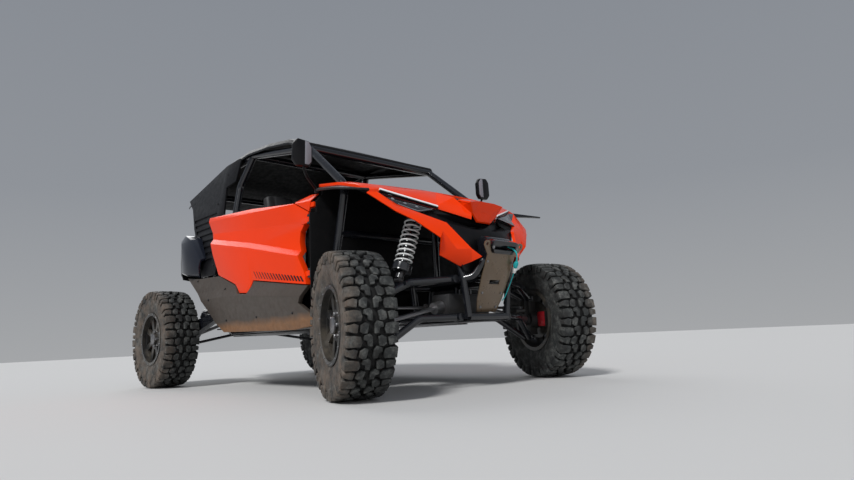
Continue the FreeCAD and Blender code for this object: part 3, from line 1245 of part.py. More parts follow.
def make_skid():
    """The skid plate under the rails, narrower between the front wheels."""
    front, rear = "Sizes.axle_reach + 200", "-Sizes.axle_reach + 30"
    half = [(rear, "230"), ("Sizes.floor_rear - 40", "250"), ("Sizes.floor_rear", "Sizes.side_rail_out"),
            ("Sizes.floor_front - 10", "Sizes.side_rail_out"), ("Sizes.floor_front + 30", "200"),
            ("Sizes.axle_reach - 220", "180"), (front, "180")]
    twin = [(x, "-(" + out + ")") for x, out in reversed(half)]
    body = doc.addObject("PartDesign::Body", "skid_body")
    plan = outline_sketch(body, "skid_outline", "XY_Plane", half + twin,
                          "Sizes.rail_up - Sizes.rail_radius - Sizes.skid_thick")
    pad(body, plan, "Sizes.skid_thick")
    keep(body, "skid_plate")


def make_mirrors():
    plan = [(738, 1350), (760, 1318), (838, 1318), (866, 1352), (862, 1452), (836, 1484), (758, 1476),
            (736, 1440)]
    head = prism([at(780, out, z) for out, z in plan], Vector(34, 0, 0))
    stalk = rod(at(683, 558, 1396), at(790, 750, 1398), 9)
    cage = doc.getObject("shape_roll_cage").Shape
    feature("mirrors", both(joined([head, stalk]).cut(cage)))


make_wheels()
make_uprights()
make_front_arms()
make_frame()
make_cage()
make_hood()
make_headlamps()
make_fangs()
make_grille()
make_roof()
make_sides()
make_fender_trims()
make_bed()
make_rear_body()
make_front_end()
make_plate()
make_winch()
make_firewall()
make_cabin()
make_seats()
make_steering_wheel()
make_rack()
make_rear_arms()
make_shocks()
make_driveline()
make_skid()
make_mirrors()

doc.recompute()
for obj in doc.Objects:
    if any(flag in obj.State for flag in ("Invalid", "Error")):
        raise RuntimeError(f"{obj.Name} did not build: {obj.State}")
os.makedirs("parts", exist_ok=True)
for obj in kept:
    shape = obj.Shape
    if shape.isNull() or not shape.isValid() or not shape.Solids:
        raise RuntimeError(obj.Label + " is not a valid solid")
    shape.exportStep(os.path.join("parts", obj.Label + ".step"))
    print(obj.Label, len(shape.Solids), "solids")
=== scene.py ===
import json
from math import atan2, cos, exp, hypot, pi, radians, sin

import bmesh
import bpy
from mathutils import Matrix, Vector
from mathutils.bvhtree import BVHTree


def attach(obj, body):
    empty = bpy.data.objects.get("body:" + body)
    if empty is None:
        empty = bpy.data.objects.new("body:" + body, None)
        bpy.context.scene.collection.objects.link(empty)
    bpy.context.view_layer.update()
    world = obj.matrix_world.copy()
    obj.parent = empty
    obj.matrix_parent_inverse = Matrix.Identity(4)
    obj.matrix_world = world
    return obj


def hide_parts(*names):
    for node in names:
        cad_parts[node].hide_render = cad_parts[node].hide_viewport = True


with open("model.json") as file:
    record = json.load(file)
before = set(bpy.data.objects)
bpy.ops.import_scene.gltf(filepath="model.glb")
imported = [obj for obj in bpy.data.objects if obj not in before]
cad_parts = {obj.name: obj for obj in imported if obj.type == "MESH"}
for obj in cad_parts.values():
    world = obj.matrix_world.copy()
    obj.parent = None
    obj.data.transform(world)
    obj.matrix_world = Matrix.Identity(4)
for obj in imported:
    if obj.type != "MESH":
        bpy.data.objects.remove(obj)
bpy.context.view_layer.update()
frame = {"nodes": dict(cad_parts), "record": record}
nodes = frame["nodes"]
slot_of = {entry["node"]: entry["material_slot"] for entry in frame["record"]["subparts"]}
body_of = {n: body for body, members in frame["record"]["behaviour"]["bodies"].items() for n in members}

# Driving dimensions in metres, the same as in the part
AXLE, TRACK, KING = 1.260, 0.800, 0.675
TYRE_R, TYRE_HALF, BEAD_R, BEAD_HALF = 0.381, 0.127, 0.1904, 0.101
STEER = radians(20)


# Camera, at the angle of the photograph

CAMERA_PLACE = (3.770, -2.680, 0.301)
CAMERA_AZIMUTH, CAMERA_PITCH, CAMERA_ROLL = 46.04, 9.03, -2.65
SENSOR_WIDTH, LENS = 36, 25.62


def make_camera():
    azimuth, pitch, roll = (radians(angle) for angle in (CAMERA_AZIMUTH, CAMERA_PITCH, CAMERA_ROLL))
    ahead = Vector((-sin(azimuth) * cos(pitch), cos(azimuth) * cos(pitch), sin(pitch)))
    right = Vector((cos(azimuth), sin(azimuth), 0))
    up = right.cross(ahead)
    right, up = right * cos(roll) + up * sin(roll), up * cos(roll) - right * sin(roll)
    data = bpy.data.cameras.new("photo_camera")
    data.sensor_width, data.lens = SENSOR_WIDTH, LENS
    camera = bpy.data.objects.new("photo_camera", data)
    turn = Matrix((right, up, -ahead)).transposed().to_4x4()
    camera.matrix_world = Matrix.Translation(CAMERA_PLACE) @ turn
    bpy.context.scene.collection.objects.link(camera)
    bpy.context.scene.camera = camera


make_camera()


# Materials

def new_material(name):
    made = bpy.data.materials.new(name)
    made.use_nodes = True
    tree = made.node_tree
    tree.nodes.clear()
    out = tree.nodes.new("ShaderNodeOutputMaterial")
    shader = tree.nodes.new("ShaderNodeBsdfPrincipled")
    tree.links.new(shader.outputs[0], out.inputs[0])
    return made, tree, shader


def node(tree, kind, **settings):
    """A shader node with its sockets and its own settings given by name."""
    made = tree.nodes.new(kind)
    for key, value in settings.items():
        if key in made.inputs:
            made.inputs[key].default_value = value
        else:
            setattr(made, key, value)
    return made


def feed(tree, socket, value):
    """Links a socket to another one, or gives it a number or a colour."""
    if isinstance(value, bpy.types.NodeSocket):
        tree.links.new(value, socket)
    else:
        socket.default_value = (*value, 1) if isinstance(value, tuple) else value


def noise(tree, scale, detail=4, roughness=0.6):
    place = node(tree, "ShaderNodeTexCoord")
    made = node(tree, "ShaderNodeTexNoise", Scale=scale, Detail=detail, Roughness=roughness)
    tree.links.new(place.outputs["Object"], made.inputs["Vector"])
    return made.outputs["Fac"]


def ramp(tree, source, stops):
    made = node(tree, "ShaderNodeValToRGB")
    band = made.color_ramp
    while len(band.elements) < len(stops):
        band.elements.new(0.5)
    for element, (place, colour) in zip(band.elements, stops):
        element.position = place
        element.color = (*colour, 1)
    tree.links.new(source, made.inputs["Fac"])
    return made.outputs["Color"]


def mix(tree, factor, first, second):
    made = node(tree, "ShaderNodeMix", data_type="RGBA")
    for place, value in ((6, first), (7, second), (0, factor)):
        feed(tree, made.inputs[place], value)
    return made.outputs[2]


def span(tree, source, low, high, to_low, to_high):
    """One range of numbers led to another."""
    made = node(tree, "ShaderNodeMapRange",
                **{"From Min": low, "From Max": high, "To Min": to_low, "To Max": to_high})
    tree.links.new(source, made.inputs["Value"])
    return made.outputs["Result"]


def upwards(tree, vector):
    split = node(tree, "ShaderNodeSeparateXYZ")
    tree.links.new(vector, split.inputs[0])
    return split.outputs["Z"]


def height(tree):
    """The height above the floor, in metres."""
    return upwards(tree, node(tree, "ShaderNodeNewGeometry").outputs["Position"])


def combine(tree, operation, first, second):
    made = node(tree, "ShaderNodeMath", operation=operation)
    for socket, value in zip(made.inputs, (first, second)):
        feed(tree, socket, value)
    return made.outputs[0]


def bump(tree, shader, source, strength, distance):
    made = node(tree, "ShaderNodeBump", Strength=strength, Distance=distance)
    tree.links.new(source, made.inputs["Height"])
    tree.links.new(made.outputs["Normal"], shader.inputs["Normal"])


DUST, DUST_FROM, DUST_TOP = (0.20, 0.165, 0.12), 0.25, 0.9


def dusty(tree, colour, amount):
    """A colour under trail dust that thins out with height."""
    patches = span(tree, noise(tree, 7, 6, 0.7), 0.42, 0.75, 0.0, 1.0)
    low_down = span(tree, height(tree), DUST_FROM, DUST_TOP, 1.0, 0.12)
    share = combine(tree, "MULTIPLY", combine(tree, "MULTIPLY", patches, low_down), amount)
    return mix(tree, share, colour, DUST)


def painted(name, colour, roughness, coat=0.0, dust=0.25, grain=0.0, metallic=0.0, variation=0.08, gloss=0.5):
    """A moulded, painted or bare surface: grain is the depth of its texture, gloss its plain reflection."""
    made, tree, shader = new_material(name)
    darker = tuple(c * (1 - variation) for c in colour)
    lighter = tuple(min(1, c * (1 + variation)) for c in colour)
    base = mix(tree, noise(tree, 3.5), darker, lighter)
    tree.links.new(dusty(tree, base, dust), shader.inputs["Base Color"])
    rough = span(tree, noise(tree, 28, 5), 0.3, 0.75, roughness * 0.8, min(1, roughness * 1.35))
    tree.links.new(rough, shader.inputs["Roughness"])
    shader.inputs["Metallic"].default_value = metallic
    shader.inputs["Specular IOR Level"].default_value = gloss
    shader.inputs["Coat Weight"].default_value = coat
    shader.inputs["Coat Roughness"].default_value = 0.06
    if grain:
        bump(tree, shader, noise(tree, 900, 2), grain, 0.0006)
    else:
        bump(tree, shader, noise(tree, 60, 3), 0.06, 0.0008)
    return made


PAINTS = {
    # name: (colour, roughness, what departs from painted's own values)
    "orange_panels": ((0.86, 0.044, 0.0015), 0.20, dict(coat=0.20, dust=0.02, variation=0.05, gloss=0.1)),
    "black_plastic": ((0.004, 0.004, 0.005), 0.36, dict(dust=0.03, grain=0.25, gloss=0.22)),
    "roof_black": ((0.006, 0.006, 0.007), 0.34, dict(dust=0.03, grain=0.15, gloss=0.35)),
    "black_metal": ((0.006, 0.007, 0.010), 0.22, dict(coat=0.5, dust=0.04, gloss=0.4)),
    "cast_black": ((0.010, 0.010, 0.011), 0.42, dict(dust=0.12, grain=0.5, metallic=0.1)),
    "gunmetal": ((0.150, 0.103, 0.062), 0.30, dict(coat=0.3, dust=0.20, metallic=0.3, variation=0.30)),
    "dark_gloss": ((0.007, 0.009, 0.016), 0.12, dict(coat=0.8, dust=0.05, gloss=0.3)),
    "lamp_dark": ((0.008, 0.008, 0.010), 0.08, dict(coat=1.0, dust=0.03)),
    "lamp_red": ((0.42, 0.01, 0.01), 0.12, dict(coat=1.0, dust=0.08)),
    "wheel_black": ((0.018, 0.018, 0.018), 0.34, dict(coat=0.2, dust=0.55)),
    "bright_steel": ((0.26, 0.26, 0.27), 0.34, dict(dust=0.3, metallic=0.9)),
    "alloy": ((0.085, 0.085, 0.088), 0.45, dict(dust=0.3, metallic=0.8, grain=0.3)),
    "spring_white": ((0.74, 0.75, 0.74), 0.25, dict(coat=0.3, dust=0.15)),
    "grip_rubber": ((0.02, 0.02, 0.02), 0.6, dict(dust=0.05, grain=0.6)),
    "seat_cover": ((0.022, 0.022, 0.024), 0.55, dict(dust=0.08, grain=0.8)),
    "caliper_red": ((0.30, 0.003, 0.010), 0.35, dict(coat=0.4, dust=0.08)),
    "sleeve_white": ((0.92, 0.92, 0.90), 0.5, dict(dust=0.0)),
    "rope_teal": ((0.01, 0.42, 0.44), 0.7, dict(dust=0.1, grain=0.9)),
    "lamp_silver": ((0.42, 0.44, 0.47), 0.2, dict(coat=0.6, dust=0.05, metallic=0.7)),
    "mirror_glass": ((0.55, 0.57, 0.60), 0.04, dict(dust=0.04, metallic=1.0)),
    "band_grey": ((0.24, 0.24, 0.27), 0.35, dict(coat=0.2, dust=0.05)),
    # Darker and duller than black_plastic: painted shade inside the cabin, in its linings and in the gaps
    "cabin_shade_black": ((0.003, 0.003, 0.0035), 0.6, dict(dust=0.02, grain=0.4, gloss=0.2)),
    "damper_black": ((0.012, 0.012, 0.014), 0.22, dict(coat=0.4, dust=0.15)),
}


def make_materials():
    made = {name: painted(name, colour, roughness, **more) for name, (colour, roughness, more) in PAINTS.items()}
    made["rocker"] = rocker_material()
    made["tyre"] = tyre_material()
    made["lamp_white"] = strip_material()
    return made


def tyre_material():
    """Worn rubber, dusty on its outer side, with painted shade that blackens the grooves and the lower sides of the
    lugs; both come from the mesh's attributes.
    """
    made, tree, shader = new_material("tyre_rubber")
    worn = ramp(tree, noise(tree, 19, 8, 0.75), [(0.34, (0.008, 0.0085, 0.009)), (0.50, (0.026, 0.029, 0.029)),
                                                  (0.70, (0.135, 0.138, 0.130))])
    outboard = node(tree, "ShaderNodeAttribute", attribute_name="outboard")
    shoulder = span(tree, outboard.outputs["Fac"], 0.35, 0.97, 0.04, 0.66)
    patches = span(tree, noise(tree, 11, 7, 0.75), 0.36, 0.60, 0.0, 1.0)
    dust = mix(tree, combine(tree, "MULTIPLY", shoulder, patches), worn, (0.165, 0.125, 0.095))
    tread = node(tree, "ShaderNodeAttribute", attribute_name="tread")
    # Painted shade: the floor of the tread and the lower sides of the lugs turn near black
    groove_shade = span(tree, tread.outputs["Fac"], 0.45, 1.0, 1.0, 0.0)
    tree.links.new(mix(tree, groove_shade, dust, (0.004, 0.004, 0.004)), shader.inputs["Base Color"])
    tree.links.new(span(tree, noise(tree, 40), 0.3, 0.7, 0.55, 0.9), shader.inputs["Roughness"])
    shader.inputs["Specular IOR Level"].default_value = 0.4
    bump(tree, shader, noise(tree, 220, 6, 0.7), 0.5, 0.0015)
    return made


def rocker_material():
    """A brownish grey, its brown a painted reflection of the ground, over a tan lip along the lower edge that is a
    painted reflection of the ground too.
    """
    made, tree, shader = new_material("rocker_guard")
    grey = mix(tree, noise(tree, 6, 6, 0.7), (0.050, 0.040, 0.033), (0.085, 0.068, 0.055))
    # Painted reflection: the tan lip along the lower edge stands for the ground mirrored in it
    tan_lip_reflection = mix(tree, noise(tree, 22, 6, 0.7), (0.12, 0.055, 0.022), (0.34, 0.17, 0.075))
    blurred = span(tree, noise(tree, 9, 4), 0.0, 1.0, -0.03, 0.03)
    low_down = span(tree, combine(tree, "ADD", height(tree), blurred), 0.425, 0.475, 1.0, 0.0)
    tree.links.new(mix(tree, low_down, grey, tan_lip_reflection), shader.inputs["Base Color"])
    tree.links.new(span(tree, noise(tree, 28, 5), 0.3, 0.75, 0.32, 0.6), shader.inputs["Roughness"])
    shader.inputs["Metallic"].default_value = 0.15
    bump(tree, shader, noise(tree, 120, 5), 0.2, 0.0008)
    return made


def strip_material():
    made, tree, shader = new_material("light_strip")
    shader.inputs["Base Color"].default_value = (0.66, 0.68, 0.70, 1)
    shader.inputs["Roughness"].default_value = 0.2
    glow = ramp(tree, noise(tree, 30), [(0.2, (0.85, 0.88, 0.9)), (0.8, (1, 1, 1))])
    tree.links.new(glow, shader.inputs["Emission Color"])
    shader.inputs["Emission Strength"].default_value = 0.18
    return made


materials = make_materials()


def dress(obj, name):
    obj.data.materials.clear()
    obj.data.materials.append(materials[name])


# Meshes

def link(obj):
    bpy.context.scene.collection.objects.link(obj)
    return obj


def mesh_object(name, vertices, faces):
    mesh = bpy.data.meshes.new(name)
    mesh.from_pydata([tuple(v) for v in vertices], [], faces)
    mesh.validate()
    mesh.update()
    return link(bpy.data.objects.new(name, mesh))


def outwards(mesh):
    """Turns every face to look out of the solid."""
    made = bmesh.new()
    made.from_mesh(mesh)
    bmesh.ops.recalc_face_normals(made, faces=made.faces)
    made.to_mesh(mesh)
    made.free()


def smooth(obj, degrees):
    """Shades the surface smooth, but for edges sharper than the angle."""
    mesh = obj.data
    mesh.shade_smooth()
    made = bmesh.new()
    made.from_mesh(mesh)
    for edge in made.edges:
        if len(edge.link_faces) == 2 and edge.calc_face_angle(0) > radians(degrees):
            edge.smooth = False
    made.to_mesh(mesh)
    made.free()


def break_edges(obj, width, degrees=30):
    made = obj.modifiers.new("bevel", "BEVEL")
    made.width, made.segments = width, 2
    made.limit_method, made.angle_limit = "ANGLE", radians(degrees)
    mesh = bpy.data.meshes.new_from_object(obj.evaluated_get(bpy.context.evaluated_depsgraph_get()))
    obj.modifiers.clear()
    obj.data = mesh


def stands_for(obj, name):
    """The piece rides on the body of the node that it replaces, which it hides."""
    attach(obj, body_of[name])
    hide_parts(name)
    return obj


def circle(count):
    return [2 * pi * i / count for i in range(count)]


class Shape:
    """Vertices and faces gathered into one piece."""

    def __init__(self):
        self.vertices, self.faces = [], []

    def add(self, vertices, faces):
        base = len(self.vertices)
        self.vertices += [Vector(v) for v in vertices]
        self.faces += [tuple(base + i for i in face) for face in faces]

    def loft(self, rings, closed=False):
        """Equal rings of points joined into a skin, capped unless it closes on itself."""
        count = len(rings[0])
        pairs = list(zip(range(len(rings)), range(1, len(rings)))) + ([(len(rings) - 1, 0)] if closed else [])
        faces = [(a * count + j, a * count + (j + 1) % count, b * count + (j + 1) % count, b * count + j)
                 for a, b in pairs for j in range(count)]
        if not closed:
            last = (len(rings) - 1) * count
            faces += [tuple(reversed(range(count))), tuple(range(last, last + count))]
        self.add([p for ring in rings for p in ring], faces)

    def tube(self, points, radius, sides=8, closed=False):
        rings = []
        count = len(points)
        for k, p in enumerate(points):
            before = points[(k - 1) % count] if closed or k else p
            after = points[(k + 1) % count] if closed or k < count - 1 else p
            frame_of = (after - before).to_track_quat("Z", "Y").to_matrix()
            if rings:
                # carried along from the last ring, so that the tube doesn't twist
                side = (last_side - frame_of.col[2] * last_side.dot(frame_of.col[2])).normalized()
            else:
                side = frame_of.col[0].copy()
            other = frame_of.col[2].cross(side)
            last_side = side
            rings.append([p + radius * (side * cos(a) + other * sin(a)) for a in circle(sides)])
        self.loft(rings, closed)

    def turned(self, place, axis, profile, steps=24):
        """Turns (radius, distance along the axis) pairs about an axis."""
        turn = Vector(axis).to_track_quat("Z", "Y").to_matrix()
        self.loft([[Vector(place) + turn @ Vector((r * cos(a), r * sin(a), along)) for a in circle(steps)]
                   for r, along in profile])

    def bolt(self, place, way, radius=0.007):
        """A hexagon head on a washer."""
        self.turned(place, way, [(radius * 1.35, -0.001), (radius * 1.35, 0.0012)], 16)
        self.turned(place + Vector(way).normalized() * 0.001, way,
                    [(radius, 0), (radius, 0.0038), (radius * 0.8, 0.005)], 6)

    def slab(self, base, along):
        """A flat outline led along a vector."""
        along = Vector(along)
        self.loft([[Vector(p) for p in base], [Vector(p) + along for p in base]])

    def piece(self, name, look, slot=None, body="chassis", bevel=0, degrees=35, replaces=None, moved=None):
        """The finished piece, on its body or on the body of the node it replaces. The slot argument is not used."""
        obj = mesh_object(name, self.vertices, self.faces)
        outwards(obj.data)
        if bevel:
            break_edges(obj, bevel)
        smooth(obj, degrees)
        dress(obj, look)
        if moved is not None:
            obj.data.transform(moved)
        if replaces:
            return stands_for(obj, replaces)
        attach(obj, body)
        return obj


SIDES = ((-1, "right"), (1, "left"))


def at(x, out, z, side=-1):
    """A point in metres by its distance out to one side, the right unless told."""
    return Vector((x, side * out, z))


# What looks unlike its slot
LOOKS = {"roof": "roof_black", "muffler": "bright_steel", "rocker_panels": "rocker", "shocks": "damper_black"}
# The cabin's own parts take the black that is darkened as painted shade
LOOKS.update(dict.fromkeys(("cabin_tub", "dash", "seat_bases", "console", "firewall"), "cabin_shade_black"))
for name, cad in nodes.items():
    dress(cad, LOOKS.get(name, slot_of[name]))


# Panels with broken edges, by the width of the break in metres

FINISH = {"roof": 0.004, "hood": 0.004, "fender_trims": 0.003, "nose_fangs": 0.004, "cowl_spears": 0.003,
          "rocker_panels": 0.005, "rear_quarters": 0.0025, "rear_fenders": 0.005, "rear_fascia": 0.004,
          "grille": 0.003, "front_plate": 0.0012, "winch": 0.002, "dash": 0.008, "console": 0.005,
          "seat_bases": 0.004, "cargo_bed": 0.003, "tail_lamps": 0.002, "engine_block": 0.01, "headlamps": 0.002,
          "rear_arms": 0.004, "firewall": 0.002, "skid_plate": 0.001, "upright_left": 0.003,
          "upright_right": 0.003, "door_left": 0.004, "door_right": 0.004}
MERGE_WITHIN = 0.00002
FLAT_WITHIN, SHARP_OVER, SMOOTH_UNDER = 0.6, 28, 40  # degrees between faces
HOOD_LINING_END = 1.385


def rounded(name, width):
    """A copy of a CAD node with its sharp edges broken and its gentle ones shaded smooth, standing for it."""
    mesh = nodes[name].data.copy()
    if "custom_normal" in mesh.attributes:
        mesh.attributes.remove(mesh.attributes["custom_normal"])
    piece = link(bpy.data.objects.new(name + "_finished", mesh))
    made = bmesh.new()
    made.from_mesh(mesh)
    bmesh.ops.remove_doubles(made, verts=made.verts, dist=MERGE_WITHIN)
    bmesh.ops.dissolve_limit(made, angle_limit=radians(FLAT_WITHIN), verts=made.verts, edges=made.edges)
    sharp = [edge for edge in made.edges
             if len(edge.link_faces) == 2 and edge.calc_face_angle(0) > radians(SHARP_OVER)]
    if sharp:
        bmesh.ops.bevel(made, geom=sharp, offset=width, offset_type="OFFSET", segments=2, profile=0.6,
                        affect="EDGES", clamp_overlap=True)
    made.to_mesh(mesh)
    made.free()
    smooth(piece, SMOOTH_UNDER)
    dress(piece, LOOKS.get(name, slot_of[name]))
    return stands_for(piece, name)


def line_inside(piece, faces_in):
    """Gives the faces for which faces_in(normal, centre) holds a black lining, darkened as painted shade."""
    piece.data.materials.append(materials["cabin_shade_black"])
    for face in piece.data.polygons:
        if faces_in(face.normal, face.center):
            face.material_index = 1


def finish_panels():
    done = {name: rounded(name, width) for name, width in FINISH.items()}
    line_inside(done["door_right"], lambda normal, centre: normal.y > 0.3)
    line_inside(done["door_left"], lambda normal, centre: normal.y < -0.3)
    line_inside(done["hood"], lambda normal, centre: normal.z < -0.15 and centre.x < HOOD_LINING_END)
    line_inside(done["roof"], lambda normal, centre: normal.z < -0.1)
    line_inside(done["rear_quarters"], lambda normal, centre: normal.y * centre.y < -0.1 * abs(centre.y))


finish_panels()


# Places on the leaning front plate, as in the part

PLATE_LEAN, PLATE_FOOT = radians(24), (1.451, 0.429)


def on_plate(along, ahead, out):
    """A point by its distance up the front plate, ahead of its rear face and out to the right."""
    x = PLATE_FOOT[0] + along * sin(PLATE_LEAN) + ahead * cos(PLATE_LEAN)
    z = PLATE_FOOT[1] + along * cos(PLATE_LEAN) - ahead * sin(PLATE_LEAN)
    return at(x, out, z)


PLATE_AHEAD = on_plate(0, 1, 0) - on_plate(0, 0, 0)


# Winch rope with its sleeve and strap

ROPE_RADIUS, STRAP_RADIUS, SLEEVE_LONG, SLEEVE_RADIUS = 0.005, 0.003, 0.034, 0.010
SPLICE_RINGS, SPLICE_SIDES, SPLICE_STRANDS = 24, 36, 6
ROPE_ROUTE = [on_plate(0.386, -0.0238, -0.076), on_plate(0.386, 0.036, -0.082), on_plate(0.324, 0.040, -0.108),
              on_plate(0.278, 0.030, -0.120)]
ROPE_DOWN = (ROPE_ROUTE[-1] - ROPE_ROUTE[-2]).normalized()
STRAP_ROUTE = [ROPE_ROUTE[-1] + 0.030 * ROPE_DOWN, ROPE_ROUTE[-1] + 0.066 * ROPE_DOWN,
               on_plate(0.146, 0.014, -0.128), on_plate(0.086, 0.016, -0.116), on_plate(0.070, 0.0055, -0.112)]


def cord_curve(name, route, radius):
    curve = bpy.data.curves.new(name, "CURVE")
    curve.dimensions = "3D"
    curve.bevel_depth, curve.bevel_resolution, curve.resolution_u = radius, 5, 16
    curve.use_fill_caps = True
    spline = curve.splines.new("NURBS")
    spline.points.add(len(route) - 1)
    for point, p in zip(spline.points, route):
        point.co = (*p, 1)
    spline.order_u = 3
    spline.use_endpoint_u = True
    obj = link(bpy.data.objects.new(name, curve))
    curve.materials.append(materials["rope_teal"])
    return stands_for(obj, "winch_rope")


def make_rope():
    """The rope, its white sleeve, the strap below it, and the thicker splice over the end of the rope."""
    rope = cord_curve("rope", ROPE_ROUTE, ROPE_RADIUS)
    strap = cord_curve("rope_strap", STRAP_ROUTE, STRAP_RADIUS)
    end = ROPE_ROUTE[-1]
    sleeve = Shape()
    sleeve.turned(end, ROPE_DOWN, [(0.0055, -0.004), (0.0085, -0.002), (SLEEVE_RADIUS, 0.003), (SLEEVE_RADIUS, 0.029),
                                   (0.0085, 0.032), (0.0045, SLEEVE_LONG)])
    sleeve = sleeve.piece("rope_sleeve", "sleeve_white", "rope_teal")
    splice = Shape()
    turn = ROPE_DOWN.to_track_quat("Z", "Y").to_matrix()
    rings = []
    for k in range(SPLICE_RINGS + 1):
        share = k / SPLICE_RINGS
        belly = sin(pi * share)
        centre = ROPE_ROUTE[2].lerp(end, 0.10 + 0.88 * share) + Vector((-0.0035, 0, 0)) * belly
        swell = 0.0058 + 0.0070 * belly ** 0.6 + 0.002 * share
        ring = []
        for angle in circle(SPLICE_SIDES):
            reach = swell * (1 + 0.10 * cos(SPLICE_STRANDS * angle + 9 * share))
            ring.append(centre + turn @ Vector((reach * cos(angle), reach * sin(angle), 0)))
        rings.append(ring)
    splice.loft(rings)
    splice = splice.piece("rope_splice", "rope_teal", degrees=60)


make_rope()


# Coil springs over the dampers

SHOCKS = [((1.260, 0.490, 0.612), (1.260, 0.335, 1.020)), ((-1.000, 0.584, 0.470), (-0.848, 0.505, 0.913))]
COIL_RADIUS, WIRE_RADIUS, COIL_TURNS, COIL_STEPS = 0.047, 0.0050, 11, 20
COIL_LOW, COIL_HIGH = 0.13, 0.82  # shares of the damper's length
FLAT_LOW, FLAT_SPAN = 0.06, 0.88  # the end turns lie flat on their seats


def make_springs():
    coils, cups = Shape(), Shape()
    for side, _ in SIDES:
        for foot, head in SHOCKS:
            foot, head = at(*foot, side), at(*head, side)
            axis = head - foot
            length = axis.length
            axis.normalize()
            turn = axis.to_track_quat("Z", "Y").to_matrix()
            low, high = length * COIL_LOW + WIRE_RADIUS, length * COIL_HIGH - WIRE_RADIUS
            points = []
            for k in range(COIL_TURNS * COIL_STEPS + 1):
                angle = 2 * pi * k / COIL_STEPS
                share = min(1, max(0, (k / (COIL_TURNS * COIL_STEPS) - FLAT_LOW) / FLAT_SPAN))
                points.append(foot + turn @ Vector((COIL_RADIUS * cos(angle), COIL_RADIUS * sin(angle),
                                                    low + (high - low) * share)))
            coils.tube(points, WIRE_RADIUS)
            cups.turned(foot, axis, [(0.030, low - 0.016), (0.054, low - 0.012), (0.056, low - 0.004),
                                     (0.056, low + 0.030), (0.053, low + 0.034), (0.038, low + 0.034),
                                     (0.036, low - 0.010)], 28)
            cups.turned(foot, axis, [(0.028, high + 0.004), (0.052, high + 0.004), (0.055, high + 0.007),
                                     (0.055, high + 0.022), (0.046, high + 0.030), (0.028, high + 0.034)], 28)
            cups.turned(foot, axis, [(0.0265, length * 0.50), (0.031, length * 0.51), (0.031, length * 0.56),
                                     (0.0265, length * 0.57)], 24)
    coils.piece("coil_springs", "spring_white", replaces="springs", degrees=60)
    cups.piece("spring_seats", "black_metal")


make_springs()


# Seats

SEAT_OUT, SEAT_HALF, PAD_FILL, PAD_ROUNDNESS, SEAM_DEPTH = 0.300, 0.235, 0.8, 5.0, 0.005


def smoothstep(value, low, high):
    share = min(1.0, max(0.0, (value - low) / (high - low)))
    return share * share * (3 - 2 * share)


def dent(value, place, width):
    return exp(-((value - place) / width) ** 2)


def make_pad(name, centre, along, ahead, halves, channels=(), channel_depth=0.006, seam=(0.58, 0.007), bolster=0.024,
             cuts=44):
    """A stuffed pad: a rounded form that pulls in at its sides, with raised bolsters and sewn channels."""
    mesh = bpy.data.meshes.new(name)
    made = bmesh.new()
    bmesh.ops.create_cube(made, size=2)
    bmesh.ops.subdivide_edges(made, edges=made.edges, cuts=cuts, use_grid_fill=True)
    along, ahead = Vector(along).normalized(), Vector(ahead).normalized()
    across_way = along.cross(ahead)
    long_half, wide_half, thick_half = halves
    for vertex in made.verts:
        u, v, w = vertex.co
        share = (abs(u) ** PAD_ROUNDNESS + abs(v) ** PAD_ROUNDNESS
                 + abs(w) ** (PAD_ROUNDNESS - 1.5)) ** (1 / PAD_ROUNDNESS)
        u, v, w = u / share, v / share, w / share
        face = max(0.0, w) ** 0.5
        pulled = 1 - 0.035 * (1 - u * u)
        lift = bolster * smoothstep(abs(v), 0.50, 0.78) * (1 - smoothstep(abs(u), 0.75, 1.0) * 0.5)
        between = channel_depth * (1 - smoothstep(abs(v), 0.46, 0.56))
        dip = sum(between * dent(u, place, 0.035) for place in channels) + seam[1] * dent(abs(v), seam[0], 0.028)
        belt = 1 - 0.004 * dent(w, 0.15, 0.10) / wide_half
        vertex.co = (Vector(centre) + along * (u * long_half * belt) + across_way * (v * wide_half * pulled * belt)
                     + ahead * (w * thick_half + face * (lift - dip)))
    bmesh.ops.recalc_face_normals(made, faces=made.faces)
    made.to_mesh(mesh)
    made.free()
    pad = link(bpy.data.objects.new(name, mesh))
    mesh.shade_smooth()
    dress(pad, "seat_cover")
    stands_for(pad, "seats")


def make_seats():
    lean, rise = atan2(0.090, 0.450), atan2(0.026, 0.215)
    up, ahead = (-sin(lean), 0, cos(lean)), (cos(lean), 0, sin(lean))
    fore, top = (cos(rise), 0, sin(rise)), (-sin(rise), 0, cos(rise))
    for side, word in SIDES:
        out = side * SEAT_OUT
        make_pad("seat_cushion_" + word, (0.030, out, 0.622), fore, top, (0.226, SEAT_HALF, 0.062),
                 (-0.45, -0.10, 0.25, 0.58))
        make_pad("seat_back_" + word, (-0.252, out, 0.925), up, ahead, (0.262, SEAT_HALF, 0.044),
                 (-0.60, -0.30, 0.0, 0.30, 0.62), bolster=0.022)
        make_pad("seat_shoulders_" + word, (-0.306, out, 1.225), up, ahead, (0.062, 0.190, 0.036),
                 (0.0,), 0.005, (0.50, SEAM_DEPTH), 0.006, 28)
        make_pad("seat_headrest_" + word, (-0.331, out, 1.345), up, ahead, (0.076, 0.125, 0.036),
                 seam=(0.45, SEAM_DEPTH), bolster=0.006, cuts=28)


make_seats()


# Tyres

CARCASS_STEPS, LUG_PITCHES, LUG_FOOT, LUG_TAPER = 96, 20, 0.350, 0.0022
